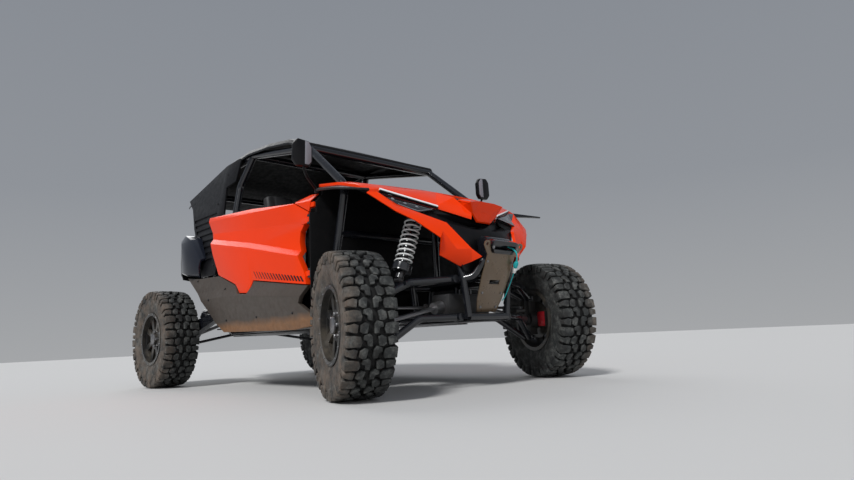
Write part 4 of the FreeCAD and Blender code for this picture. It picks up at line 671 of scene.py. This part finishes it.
# Each lug's outline for the left half of a pitch, in degrees round and metres out from the middle
LUGS = [
    [(0.6, 0.004), (7.4, 0.004), (9.6, 0.018), (8.6, 0.044), (5.4, 0.048), (4.6, 0.030), (1.0, 0.026)],
    [(9.9, 0.030), (16.4, 0.022), (17.6, 0.040), (15.6, 0.062), (11.2, 0.066), (9.6, 0.050)],
    [(0.4, 0.060), (3.6, 0.053), (7.6, 0.061), (8.4, 0.092), (7.9, 0.1255), (-0.2, 0.1255), (0.2, 0.092)],
    [(10.2, 0.078), (15.8, 0.072), (16.8, 0.092), (15.6, 0.121), (11.6, 0.121), (10.4, 0.096)],
]
# Where a shoulder lug runs down the sidewall: its two edges in degrees, and the radius of its foot
FLANKS = [(-0.2, 7.9, 0.316), (11.2, 15.6, 0.334)]


def tyre_shape():
    """A tyre about Y: a turned carcass under staggered blocks that wrap over the shoulder."""
    half = [(TYRE_R - 0.021, 0.040), (0.360, 0.085), (0.350, 0.110), (0.325, 0.121), (0.285, 0.124), (0.235, 0.117),
            (0.206, BEAD_HALF + 0.004), (BEAD_R + 0.003, BEAD_HALF)]
    profile = [(radius, -y) for radius, y in reversed(half)] + half
    shape = Shape()

    def ring(points):
        return [(radius * cos(turn), y, radius * sin(turn)) for radius, turn, y in points]

    def lug(corners):
        """A block over an outline, a little wider at its foot."""
        middle = [sum(c[i] for c in corners) / len(corners) for i in (0, 1)]
        rings = []
        for grow in (LUG_TAPER, 0.0):
            points = []
            for degrees, y in corners:
                away_turn, away_side = radians(degrees - middle[0]) * TYRE_R, y - middle[1]
                length = hypot(away_turn, away_side) or 1
                turn = radians(degrees) + grow * away_turn / length / TYRE_R
                side = y + grow * away_side / length
                crown = TYRE_R - 0.0005 - 0.008 * (abs(side) / TYRE_HALF) ** 3
                points.append((LUG_FOOT if grow else crown, turn, side))
            rings.append(ring(points))
        shape.loft(rings)

    shape.loft([ring([(radius, turn, y) for radius, y in profile]) for turn in circle(CARCASS_STEPS)], closed=True)
    pitch = 360 / LUG_PITCHES
    for k in range(LUG_PITCHES):
        for side in (-1, 1):
            shift = k * pitch + (pitch / 2 if side > 0 else 0)
            for outline in LUGS:
                lug([(shift + turn, side * y) for turn, y in outline])
            for *edges, deep in FLANKS:
                section = ((0.374, 0.1225), (0.345, 0.1268), (deep, 0.1268), (deep - 0.004, 0.1195), (LUG_FOOT, 0.108))
                shape.loft([ring([(radius, radians(shift + edge), side * y) for radius, y in section])
                            for edge in edges])
    return shape


def steered(side, place=Vector()):
    """A move to a place, then the turn about the kingpin at which the vehicle was parked."""
    pin = Vector((AXLE, side * KING, 0))
    return Matrix.Translation(pin) @ Matrix.Rotation(-STEER, 4, "Z") @ Matrix.Translation(place - pin)


def wheel_matrix(side, end):
    centre = Vector((end * AXLE, side * TRACK, TYRE_R))
    return steered(side, centre) if end > 0 else Matrix.Translation(centre)


CORNERS = [("front_right", -1, 1), ("front_left", 1, 1), ("rear_right", -1, -1), ("rear_left", 1, -1)]


def tread_height(point):
    """0 on the floor of the tread and 1 on its lugs, on the sidewalls and inside: the mask of the painted shade in the
    grooves.
    """
    radius = hypot(point.x, point.z)
    if abs(point.y) > 0.112 or radius <= 0.340:
        return 1.0
    return min(1.0, max(0.0, (radius - 0.358) / 0.016))


def make_tyres():
    shape = tyre_shape()
    for name, side, end in CORNERS:
        piece = mesh_object("lugged_tyre_" + name, shape.vertices, shape.faces)
        outwards(piece.data)
        break_edges(piece, 0.0025, 40)
        vertices = piece.data.vertices
        # The tread attribute carries the painted shade of the grooves to the tyre's material
        for field, values in (("outboard", [side * v.co.y / TYRE_HALF for v in vertices]),
                              ("tread", [tread_height(v.co) for v in vertices])):
            piece.data.attributes.new(field, "FLOAT", "POINT").data.foreach_set("value", values)
        piece.data.transform(wheel_matrix(side, end))
        smooth(piece, 50)
        dress(piece, "tyre")
        stands_for(piece, "tyre_" + name)


make_tyres()


# Wheel fittings

FACE_OUT, NUT_CIRCLE, NUTS = 0.078, 0.058, 5
RING_OUT, RING_CIRCLE, RING_BOLTS = 0.1115, 0.1975, 16


def make_wheel_fittings():
    """Lug nuts, a centre cap and the bolts of the outer bead ring on each wheel."""
    for name, side, end in CORNERS:
        shape = Shape()
        out = Vector((0, side, 0))

        def row(count, phase, radius, y, profile):
            for k in range(count):
                angle = 2 * pi * (k + phase) / count
                shape.turned((radius * cos(angle), side * y, radius * sin(angle)), out, profile, 6)

        row(NUTS, 0, NUT_CIRCLE, FACE_OUT - 0.001, [(0.0105, 0), (0.0105, 0.012), (0.009, 0.015)])
        shape.turned((0, side * (FACE_OUT + 0.011), 0), out,
                     [(0.041, 0), (0.041, 0.006), (0.036, 0.010), (0.014, 0.013)], 32)
        row(RING_BOLTS, 0.5, RING_CIRCLE, RING_OUT, [(0.0048, 0), (0.0048, 0.004), (0.003, 0.0055)])
        shape.piece("wheel_fittings_" + name, "bright_steel", body="wheel_" + name, moved=wheel_matrix(side, end))


make_wheel_fittings()


# Brake calipers

CALIPER_LOW, CALIPER_HIGH, CALIPER_NEAR, CALIPER_FAR = 0.336, 0.431, 0.062, 0.140
COVER_INNER, COVER_OUTER, COVER_SPREAD = 0.150, 0.1565, 27


def make_calipers():
    """Red covers on the front calipers: a plate on each face and a curved one over the disc's edge."""
    for side, word in SIDES:
        shape = Shape()
        for inner, outer in ((0.6885, 0.6935), (0.7615, 0.7660)):
            shape.slab([at(AXLE + x, inner, z, side) for x, z in
                        ((CALIPER_NEAR, CALIPER_LOW + 0.008), (CALIPER_NEAR + 0.014, CALIPER_LOW),
                         (CALIPER_FAR, CALIPER_LOW), (CALIPER_FAR, CALIPER_HIGH),
                         (CALIPER_NEAR + 0.014, CALIPER_HIGH), (CALIPER_NEAR, CALIPER_HIGH - 0.008))],
                       (0, side * (outer - inner), 0))
        arc = [radians(-COVER_SPREAD + 2 * COVER_SPREAD * k / 12) for k in range(13)]
        middle = (CALIPER_LOW + CALIPER_HIGH) / 2
        shape.slab([at(AXLE + radius * cos(a), 0.722, middle + radius * sin(a), side)
                    for radius, angles in ((COVER_INNER, arc), (COVER_OUTER, arc[::-1])) for a in angles],
                   (0, side * 0.044, 0))
        shape.piece("caliper_covers_" + word, "caliper_red", "cast_black", "knuckle_" + word, bevel=0.0015,
                    moved=steered(side))


make_calipers()


# Places on the CAD panels

surfaces = {}


def surface(name):
    if name not in surfaces:
        mesh = nodes[name].data
        surfaces[name] = BVHTree.FromPolygons([v.co for v in mesh.vertices], [p.vertices for p in mesh.polygons])
    return surfaces[name]


def hits(name, x, z, side):
    """The outermost point of a CAD panel at a place in side view."""
    return surface(name).ray_cast(Vector((x, side * 1.2, z)), Vector((0, -side, 0)))[0]


def onto(name, point):
    """The nearest point of a CAD panel and the way out of it there."""
    return surface(name).find_nearest(point)[:2]


# Lamps

STRIP_LINE = [(1.210, 0.568, 1.127), (1.285, 0.416, 1.080), (1.360, 0.264, 1.034)]
LAMP_FOOT = [(1.236, 0.598, 1.104), (1.290, 0.505, 1.034), (1.375, 0.424, 0.983)]


def on_lens(share, drop, side):
    """A point on a headlamp's face, by its share along it and down it."""
    def along(line):
        piece = 0 if share < 0.5 else 1
        return at(*line[piece], side).lerp(at(*line[piece + 1], side), (share - 0.5 * piece) * 2)

    high, low = along(STRIP_LINE), along(LAMP_FOOT)
    high.z -= 0.014
    return high.lerp(low, drop)


STRIP_FOOT, CHANNEL_FOOT, STRIP_LEAN = 0.008, 0.0145, 0.0025


def make_strips():
    """The slim bright strips over the lenses, each in a black channel."""
    strips, channels = Shape(), Shape()
    for side, _ in SIDES:
        for shape, top, foot, proud in ((strips, 0.0, STRIP_FOOT, 0.0), (channels, STRIP_FOOT, CHANNEL_FOOT, -0.002)):
            rings = []
            for p in STRIP_LINE:
                high, low = (at(*p, side) + Vector((STRIP_LEAN * drop / STRIP_FOOT, 0, -drop)) for drop in (top, foot))
                out = Vector((0.009 + proud, 0, 0.007 + proud))
                rings.append([high, low, low + out, high + out])
            shape.loft(rings)
    strips.piece("light_strips", "lamp_white", bevel=0.0015, replaces="lamp_strips")
    channels.piece("strip_channels", "black_plastic", bevel=0.001)


make_strips()


# Beak of the hood, which the solids lack: half of each row from its outer end inwards, and a cheek

BEAK_ROWS = [[(1.400, 0.125, 1.086), (1.400, 0.060, 1.094)], [(1.512, 0.142, 1.050), (1.512, 0.060, 1.060)],
             [(1.488, 0.104, 0.993), (1.494, 0.050, 1.000)], [(1.481, 0.059, 0.948), (1.484, 0.030, 0.948)]]
BEAK_CHEEK = [(1.400, 0.125, 1.086), (1.512, 0.142, 1.050), (1.488, 0.104, 0.993), (1.400, 0.118, 1.040)]
BEAK_SHIFT, CHEEK_SHIFT = (-0.010, 0, -0.006), 0.008


def make_beak():
    """The raised beak between the lamps: a brow, a face that narrows downwards, and a cheek on each side."""
    shape = Shape()
    grid = [[(x, -y, z) for x, y, z in row] + [(x, y, z) for x, y, z in reversed(row)] for row in BEAK_ROWS]
    for upper, lower in zip(grid, grid[1:]):
        for j in range(len(upper) - 1):
            shape.slab([upper[j], upper[j + 1], lower[j + 1], lower[j]], BEAK_SHIFT)
    for side, _ in SIDES:
        shape.slab([(x, side * y, z) for x, y, z in BEAK_CHEEK], (0, -side * CHEEK_SHIFT, -0.002))
    shape.piece("hood_beak", "orange_panels", degrees=25)


make_beak()


# Lamp details, by shares along and down a lens

LENS_EDGE = [(0.50, 0.93), (0.62, 0.94), (0.75, 0.95), (0.88, 0.95), (0.955, 0.93), (0.965, 0.75), (0.965, 0.45),
             (0.965, 0.15)]


def make_lamp_details():
    """A thin bright edge round the inner end of each lens, and three small lamps in it."""
    for side, word in SIDES:
        shape = Shape()
        route = []
        for share, drop in LENS_EDGE:
            place, way = onto("headlamps", on_lens(share, drop, side))
            route.append(place + way * 0.0006)
        shape.tube(route, 0.0018, 8)
        for share in (0.30, 0.55, 0.78):
            place, way = onto("headlamps", on_lens(share, 0.52, side))
            shape.turned(place, way, [(0.010, -0.003), (0.010, 0.0008), (0.007, 0.0016), (0.003, 0.0034)], 20)
        shape.piece("lamp_trims_" + word, "lamp_silver", "lamp_dark", degrees=60)


make_lamp_details()


# Door slashes

SLASHES, SLASH_FROM, SLASH_SPAN, SLASH_LEAN, SLASH_PROUD = 17, 0.092, 0.560, 0.019, 0.0006


def make_slashes():
    """A row of slanted dark slashes low on each door, growing forwards."""
    for side, word in SIDES:
        shape = Shape()
        for k in range(SLASHES):
            share = k / (SLASHES - 1)
            x = SLASH_FROM + SLASH_SPAN * share
            low = 0.722 - 0.135 * (x - 0.062) + 0.013  # over the sloping lower edge of the door
            high, wide = low + 0.050 - 0.014 * share, 0.007 + 0.011 * share
            back, ahead = x - SLASH_LEAN - 0.001, x + SLASH_LEAN - 0.001
            corners = [(back, high), (back + wide, high), (ahead + wide, low), (ahead, low)]
            outer = [hits("door_" + word, *corner, side) for corner in corners]
            if None not in outer:
                proud = Vector((0, side * SLASH_PROUD, 0))
                shape.slab([p - proud for p in outer], proud * 2)
        shape.piece("door_slashes_" + word, "black_plastic", body=word + "_door")


make_slashes()


# Mirrors

MIRROR_HEAD = [(0.738, 1.350), (0.760, 1.318), (0.838, 1.318), (0.866, 1.352), (0.862, 1.452), (0.836, 1.484),
               (0.758, 1.476), (0.736, 1.440)]
MIRROR_GLASS = [(0.750, 1.354), (0.766, 1.332), (0.832, 1.332), (0.853, 1.358), (0.850, 1.446), (0.829, 1.470),
                (0.764, 1.464), (0.748, 1.434)]
MIRROR_BAND = [(0.748, 1.352), (0.764, 1.332), (0.792, 1.332), (0.788, 1.474), (0.764, 1.470), (0.746, 1.440)]
MIRROR_ARM = [(0.728, 0.652, 1.206), (0.742, 0.690, 1.232), (0.772, 0.752, 1.268), (0.794, 0.786, 1.304),
              (0.797, 0.792, 1.330)]
HEAD_BACK, HEAD_THICK = 0.780, 0.034


def make_mirrors():
    """Each head on an arm that rises from the corner of the cowl, with its glass behind and a pale band ahead."""
    heads, arms = Shape(), Shape()
    for side, _ in SIDES:
        heads.slab([at(HEAD_BACK, out, z, side) for out, z in MIRROR_HEAD], (HEAD_THICK, 0, 0))
        route = [at(*point, side) for point in MIRROR_ARM]
        arms.tube(route, 0.0085, 12)
        arms.turned(at(0.726, 0.650, 1.204, side), route[1] - route[0],
                    [(0.020, 0), (0.020, 0.006), (0.013, 0.014), (0.010, 0.024)], 20)
    heads.piece("mirror_heads", "black_plastic", bevel=0.008, replaces="mirrors")
    arms.piece("mirror_arms", "black_plastic", degrees=60)
    for side, word in SIDES:
        glass, band = Shape(), Shape()
        glass.slab([at(HEAD_BACK + 0.0005, out, z, side) for out, z in MIRROR_GLASS], (-0.002, 0, 0))
        glass.piece("mirror_glass_" + word, "mirror_glass", "black_plastic", bevel=0.0006)
        band.slab([at(HEAD_BACK + HEAD_THICK - 0.0005, out, z, side) for out, z in MIRROR_BAND], (0.0012, 0, 0))
        band.piece("mirror_band_" + word, "band_grey", "black_plastic", bevel=0.0005)


make_mirrors()


# Black sheets of painted shade that close the gaps behind the panels

def make_shade_liners():
    """Black panels behind the nose and the lamps, and between each door and the firewall, standing for the shade seen
    through the gaps.
    """
    shape = Shape()
    shape.slab([(1.225, -0.14, 1.118), (1.225, 0.14, 1.118), (1.385, 0.14, 1.060), (1.385, -0.14, 1.060)],
               (0, 0, -0.004))
    shape.slab([(1.335, y, z) for y, z in ((-0.255, 0.90), (0.255, 0.90), (0.255, 1.005), (0.150, 1.058), (0, 1.072),
                                           (-0.150, 1.058), (-0.255, 1.005))], (0.004, 0, 0))
    for side, _ in SIDES:
        shape.slab([at(x, 0.640, z, side) for x, z in ((0.560, 0.560), (0.761, 0.560), (0.761, 1.120), (0.640, 1.120),
                                                       (0.585, 0.960))], (0, side * 0.006, 0))
        shape.slab([at(1.345, 0.430, 0.985, side), at(1.330, 0.270, 1.015, side), at(1.425, 0.270, 0.925, side),
                    at(1.440, 0.330, 0.905, side)], (-0.004, 0, 0))
    shape.piece("gap_shade_liners", "cabin_shade_black", "black_plastic", bevel=0.001)


make_shade_liners()


# Bolts

PLATE_BOLTS = [(sign * out, along, 0.006, 0.006) for along, out in ((0.030, 0.066), (0.115, 0.082), (0.300, 0.106))
               for sign in (-1, 1)] + [(sign * 0.101, 0.386, 0.018, 0.007) for sign in (-1, 1)]
ROCKER_BOLTS = [(-0.80, 0.800), (-0.58, 0.640), (-0.34, 0.480), (-0.34, 0.700), (0.10, 0.480), (0.55, 0.480)]
QUARTER_BOLTS = [(-0.60, 0.900), (-0.640, 1.18), (-0.70, 1.40), (-0.60, 1.62)]


def make_bolts():
    shape, panels = Shape(), Shape()
    for out, along, ahead, radius in PLATE_BOLTS:
        shape.bolt(on_plate(along, ahead, out), PLATE_AHEAD, radius)
    for side, _ in SIDES:
        for name, places, lean, radius in (("rocker_panels", ROCKER_BOLTS, 0, 0.007),
                                           ("rear_quarters", QUARTER_BOLTS, 0.15, 0.006)):
            for x, z in places:
                place = hits(name, x, z, side)
                if place:
                    panels.bolt(place, (0, side, lean), radius)
    shape.piece("plate_bolts", "bright_steel")
    panels.piece("panel_bolts", "cast_black")


make_bolts()


# Rear end: lamps, latch, bed and engine

BED_FLOOR, BED_FRONT, BED_REAR = 0.979, -0.874, -1.564
ENGINE_HALF, ENGINE_FRONT, ENGINE_REAR, ENGINE_HIGH = 0.240, -0.740, -1.230, 0.860
TAIL_LAMP = [(-1.627, 0.350, 1.078), (-1.613, 0.500, 1.070), (-1.619, 0.510, 1.004), (-1.634, 0.350, 1.010)]
LATCH_PLATE = [(-0.085, 1.030), (0.085, 1.030), (0.095, 1.042), (0.095, 1.060), (0.085, 1.070), (-0.085, 1.070),
               (-0.095, 1.060), (-0.095, 1.042)]
LATCH_GRIP = [(-0.060, 1.040), (0.060, 1.040), (0.060, 1.052), (-0.060, 1.052)]
BED_RIBS, RIB_PITCH, RIB_FOOT_HALF, RIB_TOP_HALF = 9, 0.10, 0.012, 0.007
HOOP_OUT, HOOP_RADIUS = 0.4655, 0.022


def make_rear_details():
    """Bezels and bars on the tail lamps, the tailgate's latch, and the bed's ribs and tie-down hoops."""
    bezels, bars, latch, ribs = Shape(), Shape(), Shape(), Shape()
    for side, _ in SIDES:
        corners = [at(*corner, side) for corner in TAIL_LAMP]
        ring = [a.lerp(b, share) for a, b in zip(corners, corners[1:] + corners[:1])
                for share in (0.04, 0.35, 0.65, 0.96)]
        bezels.tube(ring, 0.005, 8, closed=True)
        for drop in (0.30, 0.52, 0.74):
            start, end = corners[0].lerp(corners[3], drop), corners[1].lerp(corners[2], drop)
            bars.tube([start.lerp(end, share) for share in (0.06, 0.35, 0.65, 0.94)], 0.0035, 8)
    bezels.piece("tail_lamp_bezels", "black_plastic", degrees=60)
    bars.piece("tail_lamp_bars", "lamp_red", degrees=60)
    latch.slab([(-1.6265, y, z) for y, z in LATCH_PLATE], (-0.005, 0, 0))
    latch.slab([(-1.631, y, z) for y, z in LATCH_GRIP], (-0.009, 0, 0))
    latch.piece("tailgate_latch", "black_metal", bevel=0.002)
    for k in range(BED_RIBS):
        middle = RIB_PITCH * (k - (BED_RIBS - 1) / 2)
        ribs.slab([(BED_FRONT - 0.02, middle + y, BED_FLOOR + z) for y, z in
                   ((-RIB_FOOT_HALF, -0.001), (RIB_FOOT_HALF, -0.001), (RIB_TOP_HALF, 0.006), (-RIB_TOP_HALF, 0.006))],
                  (BED_REAR - BED_FRONT + 0.04, 0, 0))
    for side, _ in SIDES:
        for x in (BED_FRONT - 0.10, BED_REAR + 0.10):
            ribs.tube([Vector((x + HOOP_RADIUS * cos(a), side * HOOP_OUT,
                               BED_FLOOR + 0.055 + HOOP_RADIUS * sin(a))) for a in circle(20)],
                      0.004, 8, closed=True)
    ribs.piece("bed_ribs", "black_plastic", bevel=0.001, degrees=50)


make_rear_details()


FINS, FIN_LOW, FIN_PITCH, FIN_THICK = 11, 0.585, 0.024, 0.006
TOP_COVER = [(-0.79, -0.12), (-0.79, 0.12), (-0.83, 0.16), (-1.12, 0.16), (-1.17, 0.11), (-1.17, -0.11),
             (-1.12, -0.16), (-0.83, -0.16)]
# The two round ends of the belt cover: (x, z, radius, from, to) with angles in degrees, and what it shrinks about
BELT_ENDS = [(-0.87, 0.66, 0.115, -90, 90), (-1.10, 0.64, 0.095, 90, 270)]
BELT_MIDDLE = (-0.985, 0.65)


def make_engine_details():
    """Cooling fins, a belt cover, a top cover and bolts on the plain engine block."""
    metal, cover = Shape(), Shape()
    for k in range(FINS):
        z = FIN_LOW + FIN_PITCH * k
        metal.slab([(ENGINE_FRONT - 0.05, -ENGINE_HALF + 0.001, z), (ENGINE_REAR + 0.05, -ENGINE_HALF + 0.001, z),
                    (ENGINE_REAR + 0.06, -ENGINE_HALF - 0.016, z), (ENGINE_FRONT - 0.06, -ENGINE_HALF - 0.016, z)],
                   (0, 0, FIN_THICK))
        metal.slab([(ENGINE_REAR + back, y, z) for back, y in
                    ((0.001, -0.17), (0.001, 0.17), (-0.013, 0.16), (-0.013, -0.16))], (0, 0, FIN_THICK))
    metal.slab([(x, y, ENGINE_HIGH - 0.001) for x, y in TOP_COVER], (0, 0, 0.026))
    for x, y in TOP_COVER:
        metal.bolt(Vector((x * 0.985 - 0.015, y * 0.88, ENGINE_HIGH + 0.025)), (0, 0, 1), 0.006)
    metal.piece("engine_fins", "bright_steel", "alloy", bevel=0.0015)
    outline = []
    for centre_x, centre_z, radius, start, end in BELT_ENDS:
        for k in range(15):
            angle = radians(start + (end - start) * k / 14)
            outline.append((centre_x + radius * cos(angle), centre_z + radius * sin(angle)))

    def shrunk(points, along, up, out):
        """Points of the cover drawn in towards its middle, at a distance out from the engine's side."""
        x, z = BELT_MIDDLE
        return [Vector((x + (a - x) * along, ENGINE_HALF + out, z + (b - z) * up)) for a, b in points]

    cover.slab(shrunk(outline, 1, 1, -0.001), (0, 0.034, 0))
    cover.slab(shrunk(outline, 0.80, 0.76, 0.030), (0, 0.012, 0))
    for place in shrunk(outline[1::4], 0.93, 0.90, 0.032):
        cover.bolt(place, (0, 1, 0), 0.005)
    cover.piece("belt_cover", "black_plastic", bevel=0.003)


make_engine_details()


# Dash, whose face leans back from its foot to its top

DASH_FOOT, DASH_TOP = Vector((0.585, 0, 1.090)), Vector((0.640, 0, 1.190))
DASH_UP = (DASH_TOP - DASH_FOOT).normalized()
DASH_OUT = Vector((-DASH_UP.z, 0, DASH_UP.x))
DRIVER, SWITCHES, SWITCH_PITCH, VENT_SLATS = 0.30, 6, 0.035, 4
HANDLE = [(-0.395, -0.004), (-0.395, 0.030), (-0.385, 0.045), (-0.365, 0.052), (-0.235, 0.052), (-0.215, 0.045),
          (-0.205, 0.030), (-0.205, -0.004)]


def dash_panel(shape, share, y, half_y, half_up, thick, corner=0.008):
    """A panel with cut corners on the dash, its middle at a share of the way up."""
    middle = DASH_FOOT.lerp(DASH_TOP, share) + Vector((0, y, 0)) - DASH_OUT * 0.001
    points = [(half_y - corner, half_up), (half_y, half_up - corner), (half_y, corner - half_up),
              (half_y - corner, -half_up), (corner - half_y, -half_up), (-half_y, corner - half_up),
              (-half_y, half_up - corner), (corner - half_y, half_up)]
    shape.slab([middle + Vector((0, a, 0)) + DASH_UP * b for a, b in points], DASH_OUT * (thick + 0.001))


def make_dash_details():
    """A screen for the driver, a row of switches, air vents and a grab handle on the face of the dash."""
    pod, screen, switches, handle = Shape(), Shape(), Shape(), Shape()
    dash_panel(pod, 0.5, DRIVER, 0.110, 0.048, 0.014)
    dash_panel(pod, 0.5, -DRIVER, 0.160, 0.046, 0.006)
    dash_panel(screen, 0.5, DRIVER, 0.092, 0.036, 0.0155, 0.004)
    for k in range(SWITCHES):
        dash_panel(switches, 0.42, SWITCH_PITCH * (k - (SWITCHES - 1) / 2), 0.012, 0.020, 0.009, 0.003)
    for k in range(VENT_SLATS):
        for y in (0.48, -0.49):
            dash_panel(pod, 0.24 + 0.17 * k, y, 0.036, 0.004, 0.006, 0.0012)
        dash_panel(pod, 0.78 + 0.05 * k, 0.0, 0.036, 0.0015, 0.006, 0.0012)
    pod.piece("dash_panels", "black_plastic", bevel=0.0015)
    screen.piece("dash_screen", "lamp_dark", "black_plastic", bevel=0.0008)
    switches.piece("dash_switches", "grip_rubber", bevel=0.0012)
    handle.tube([DASH_FOOT.lerp(DASH_TOP, 0.5) + Vector((0, y, 0)) + DASH_OUT * out for y, out in HANDLE], 0.011, 12)
    handle.piece("grab_handle", "grip_rubber", degrees=60)


make_dash_details()


# Floor and light

FLOOR_HALF, SKY_STRENGTH = 30, 0.55
# name: (where it shines from, strength, how wide it looks in degrees)
SUNS = {"key": ((1.6, -4.6, 4.8), 2.5, 12), "back": ((-4.6, 1.0, 4.2), 0.7, 40),
        "front": ((5.0, -1.0, 1.3), 0.30, 60)}


def make_stage():
    corners = [(x * FLOOR_HALF, y * FLOOR_HALF, 0) for x, y in ((-1, -1), (1, -1), (1, 1), (-1, 1))]
    floor = mesh_object("floor", corners, [range(4)])
    made, _, shader = new_material("floor_pale")
    shader.inputs["Base Color"].default_value = (0.60, 0.595, 0.585, 1)
    shader.inputs["Roughness"].default_value = 0.85
    floor.data.materials.append(made)
    world = bpy.data.worlds.new("studio")
    bpy.context.scene.world = world
    world.use_nodes = True
    tree = world.node_tree
    rise = upwards(tree, node(tree, "ShaderNodeTexCoord").outputs["Generated"])
    sky = ramp(tree, span(tree, rise, -0.1, 1.0, 0.0, 1.0),
               [(0.0, (0.74, 0.75, 0.76)), (0.30, (0.50, 0.53, 0.58)), (1.0, (0.34, 0.38, 0.45))])
    background = tree.nodes["Background"]
    tree.links.new(sky, background.inputs[0])
    background.inputs[1].default_value = SKY_STRENGTH
    for name, (place, strength, spread) in SUNS.items():
        data = bpy.data.lights.new(name, "SUN")
        data.energy, data.angle = strength, radians(spread)
        lamp = link(bpy.data.objects.new(name, data))
        lamp.location = place
        lamp.rotation_euler = (-Vector(place)).to_track_quat("-Z", "Y").to_euler()


make_stage()
bpy.context.scene.view_settings.view_transform = "Standard"
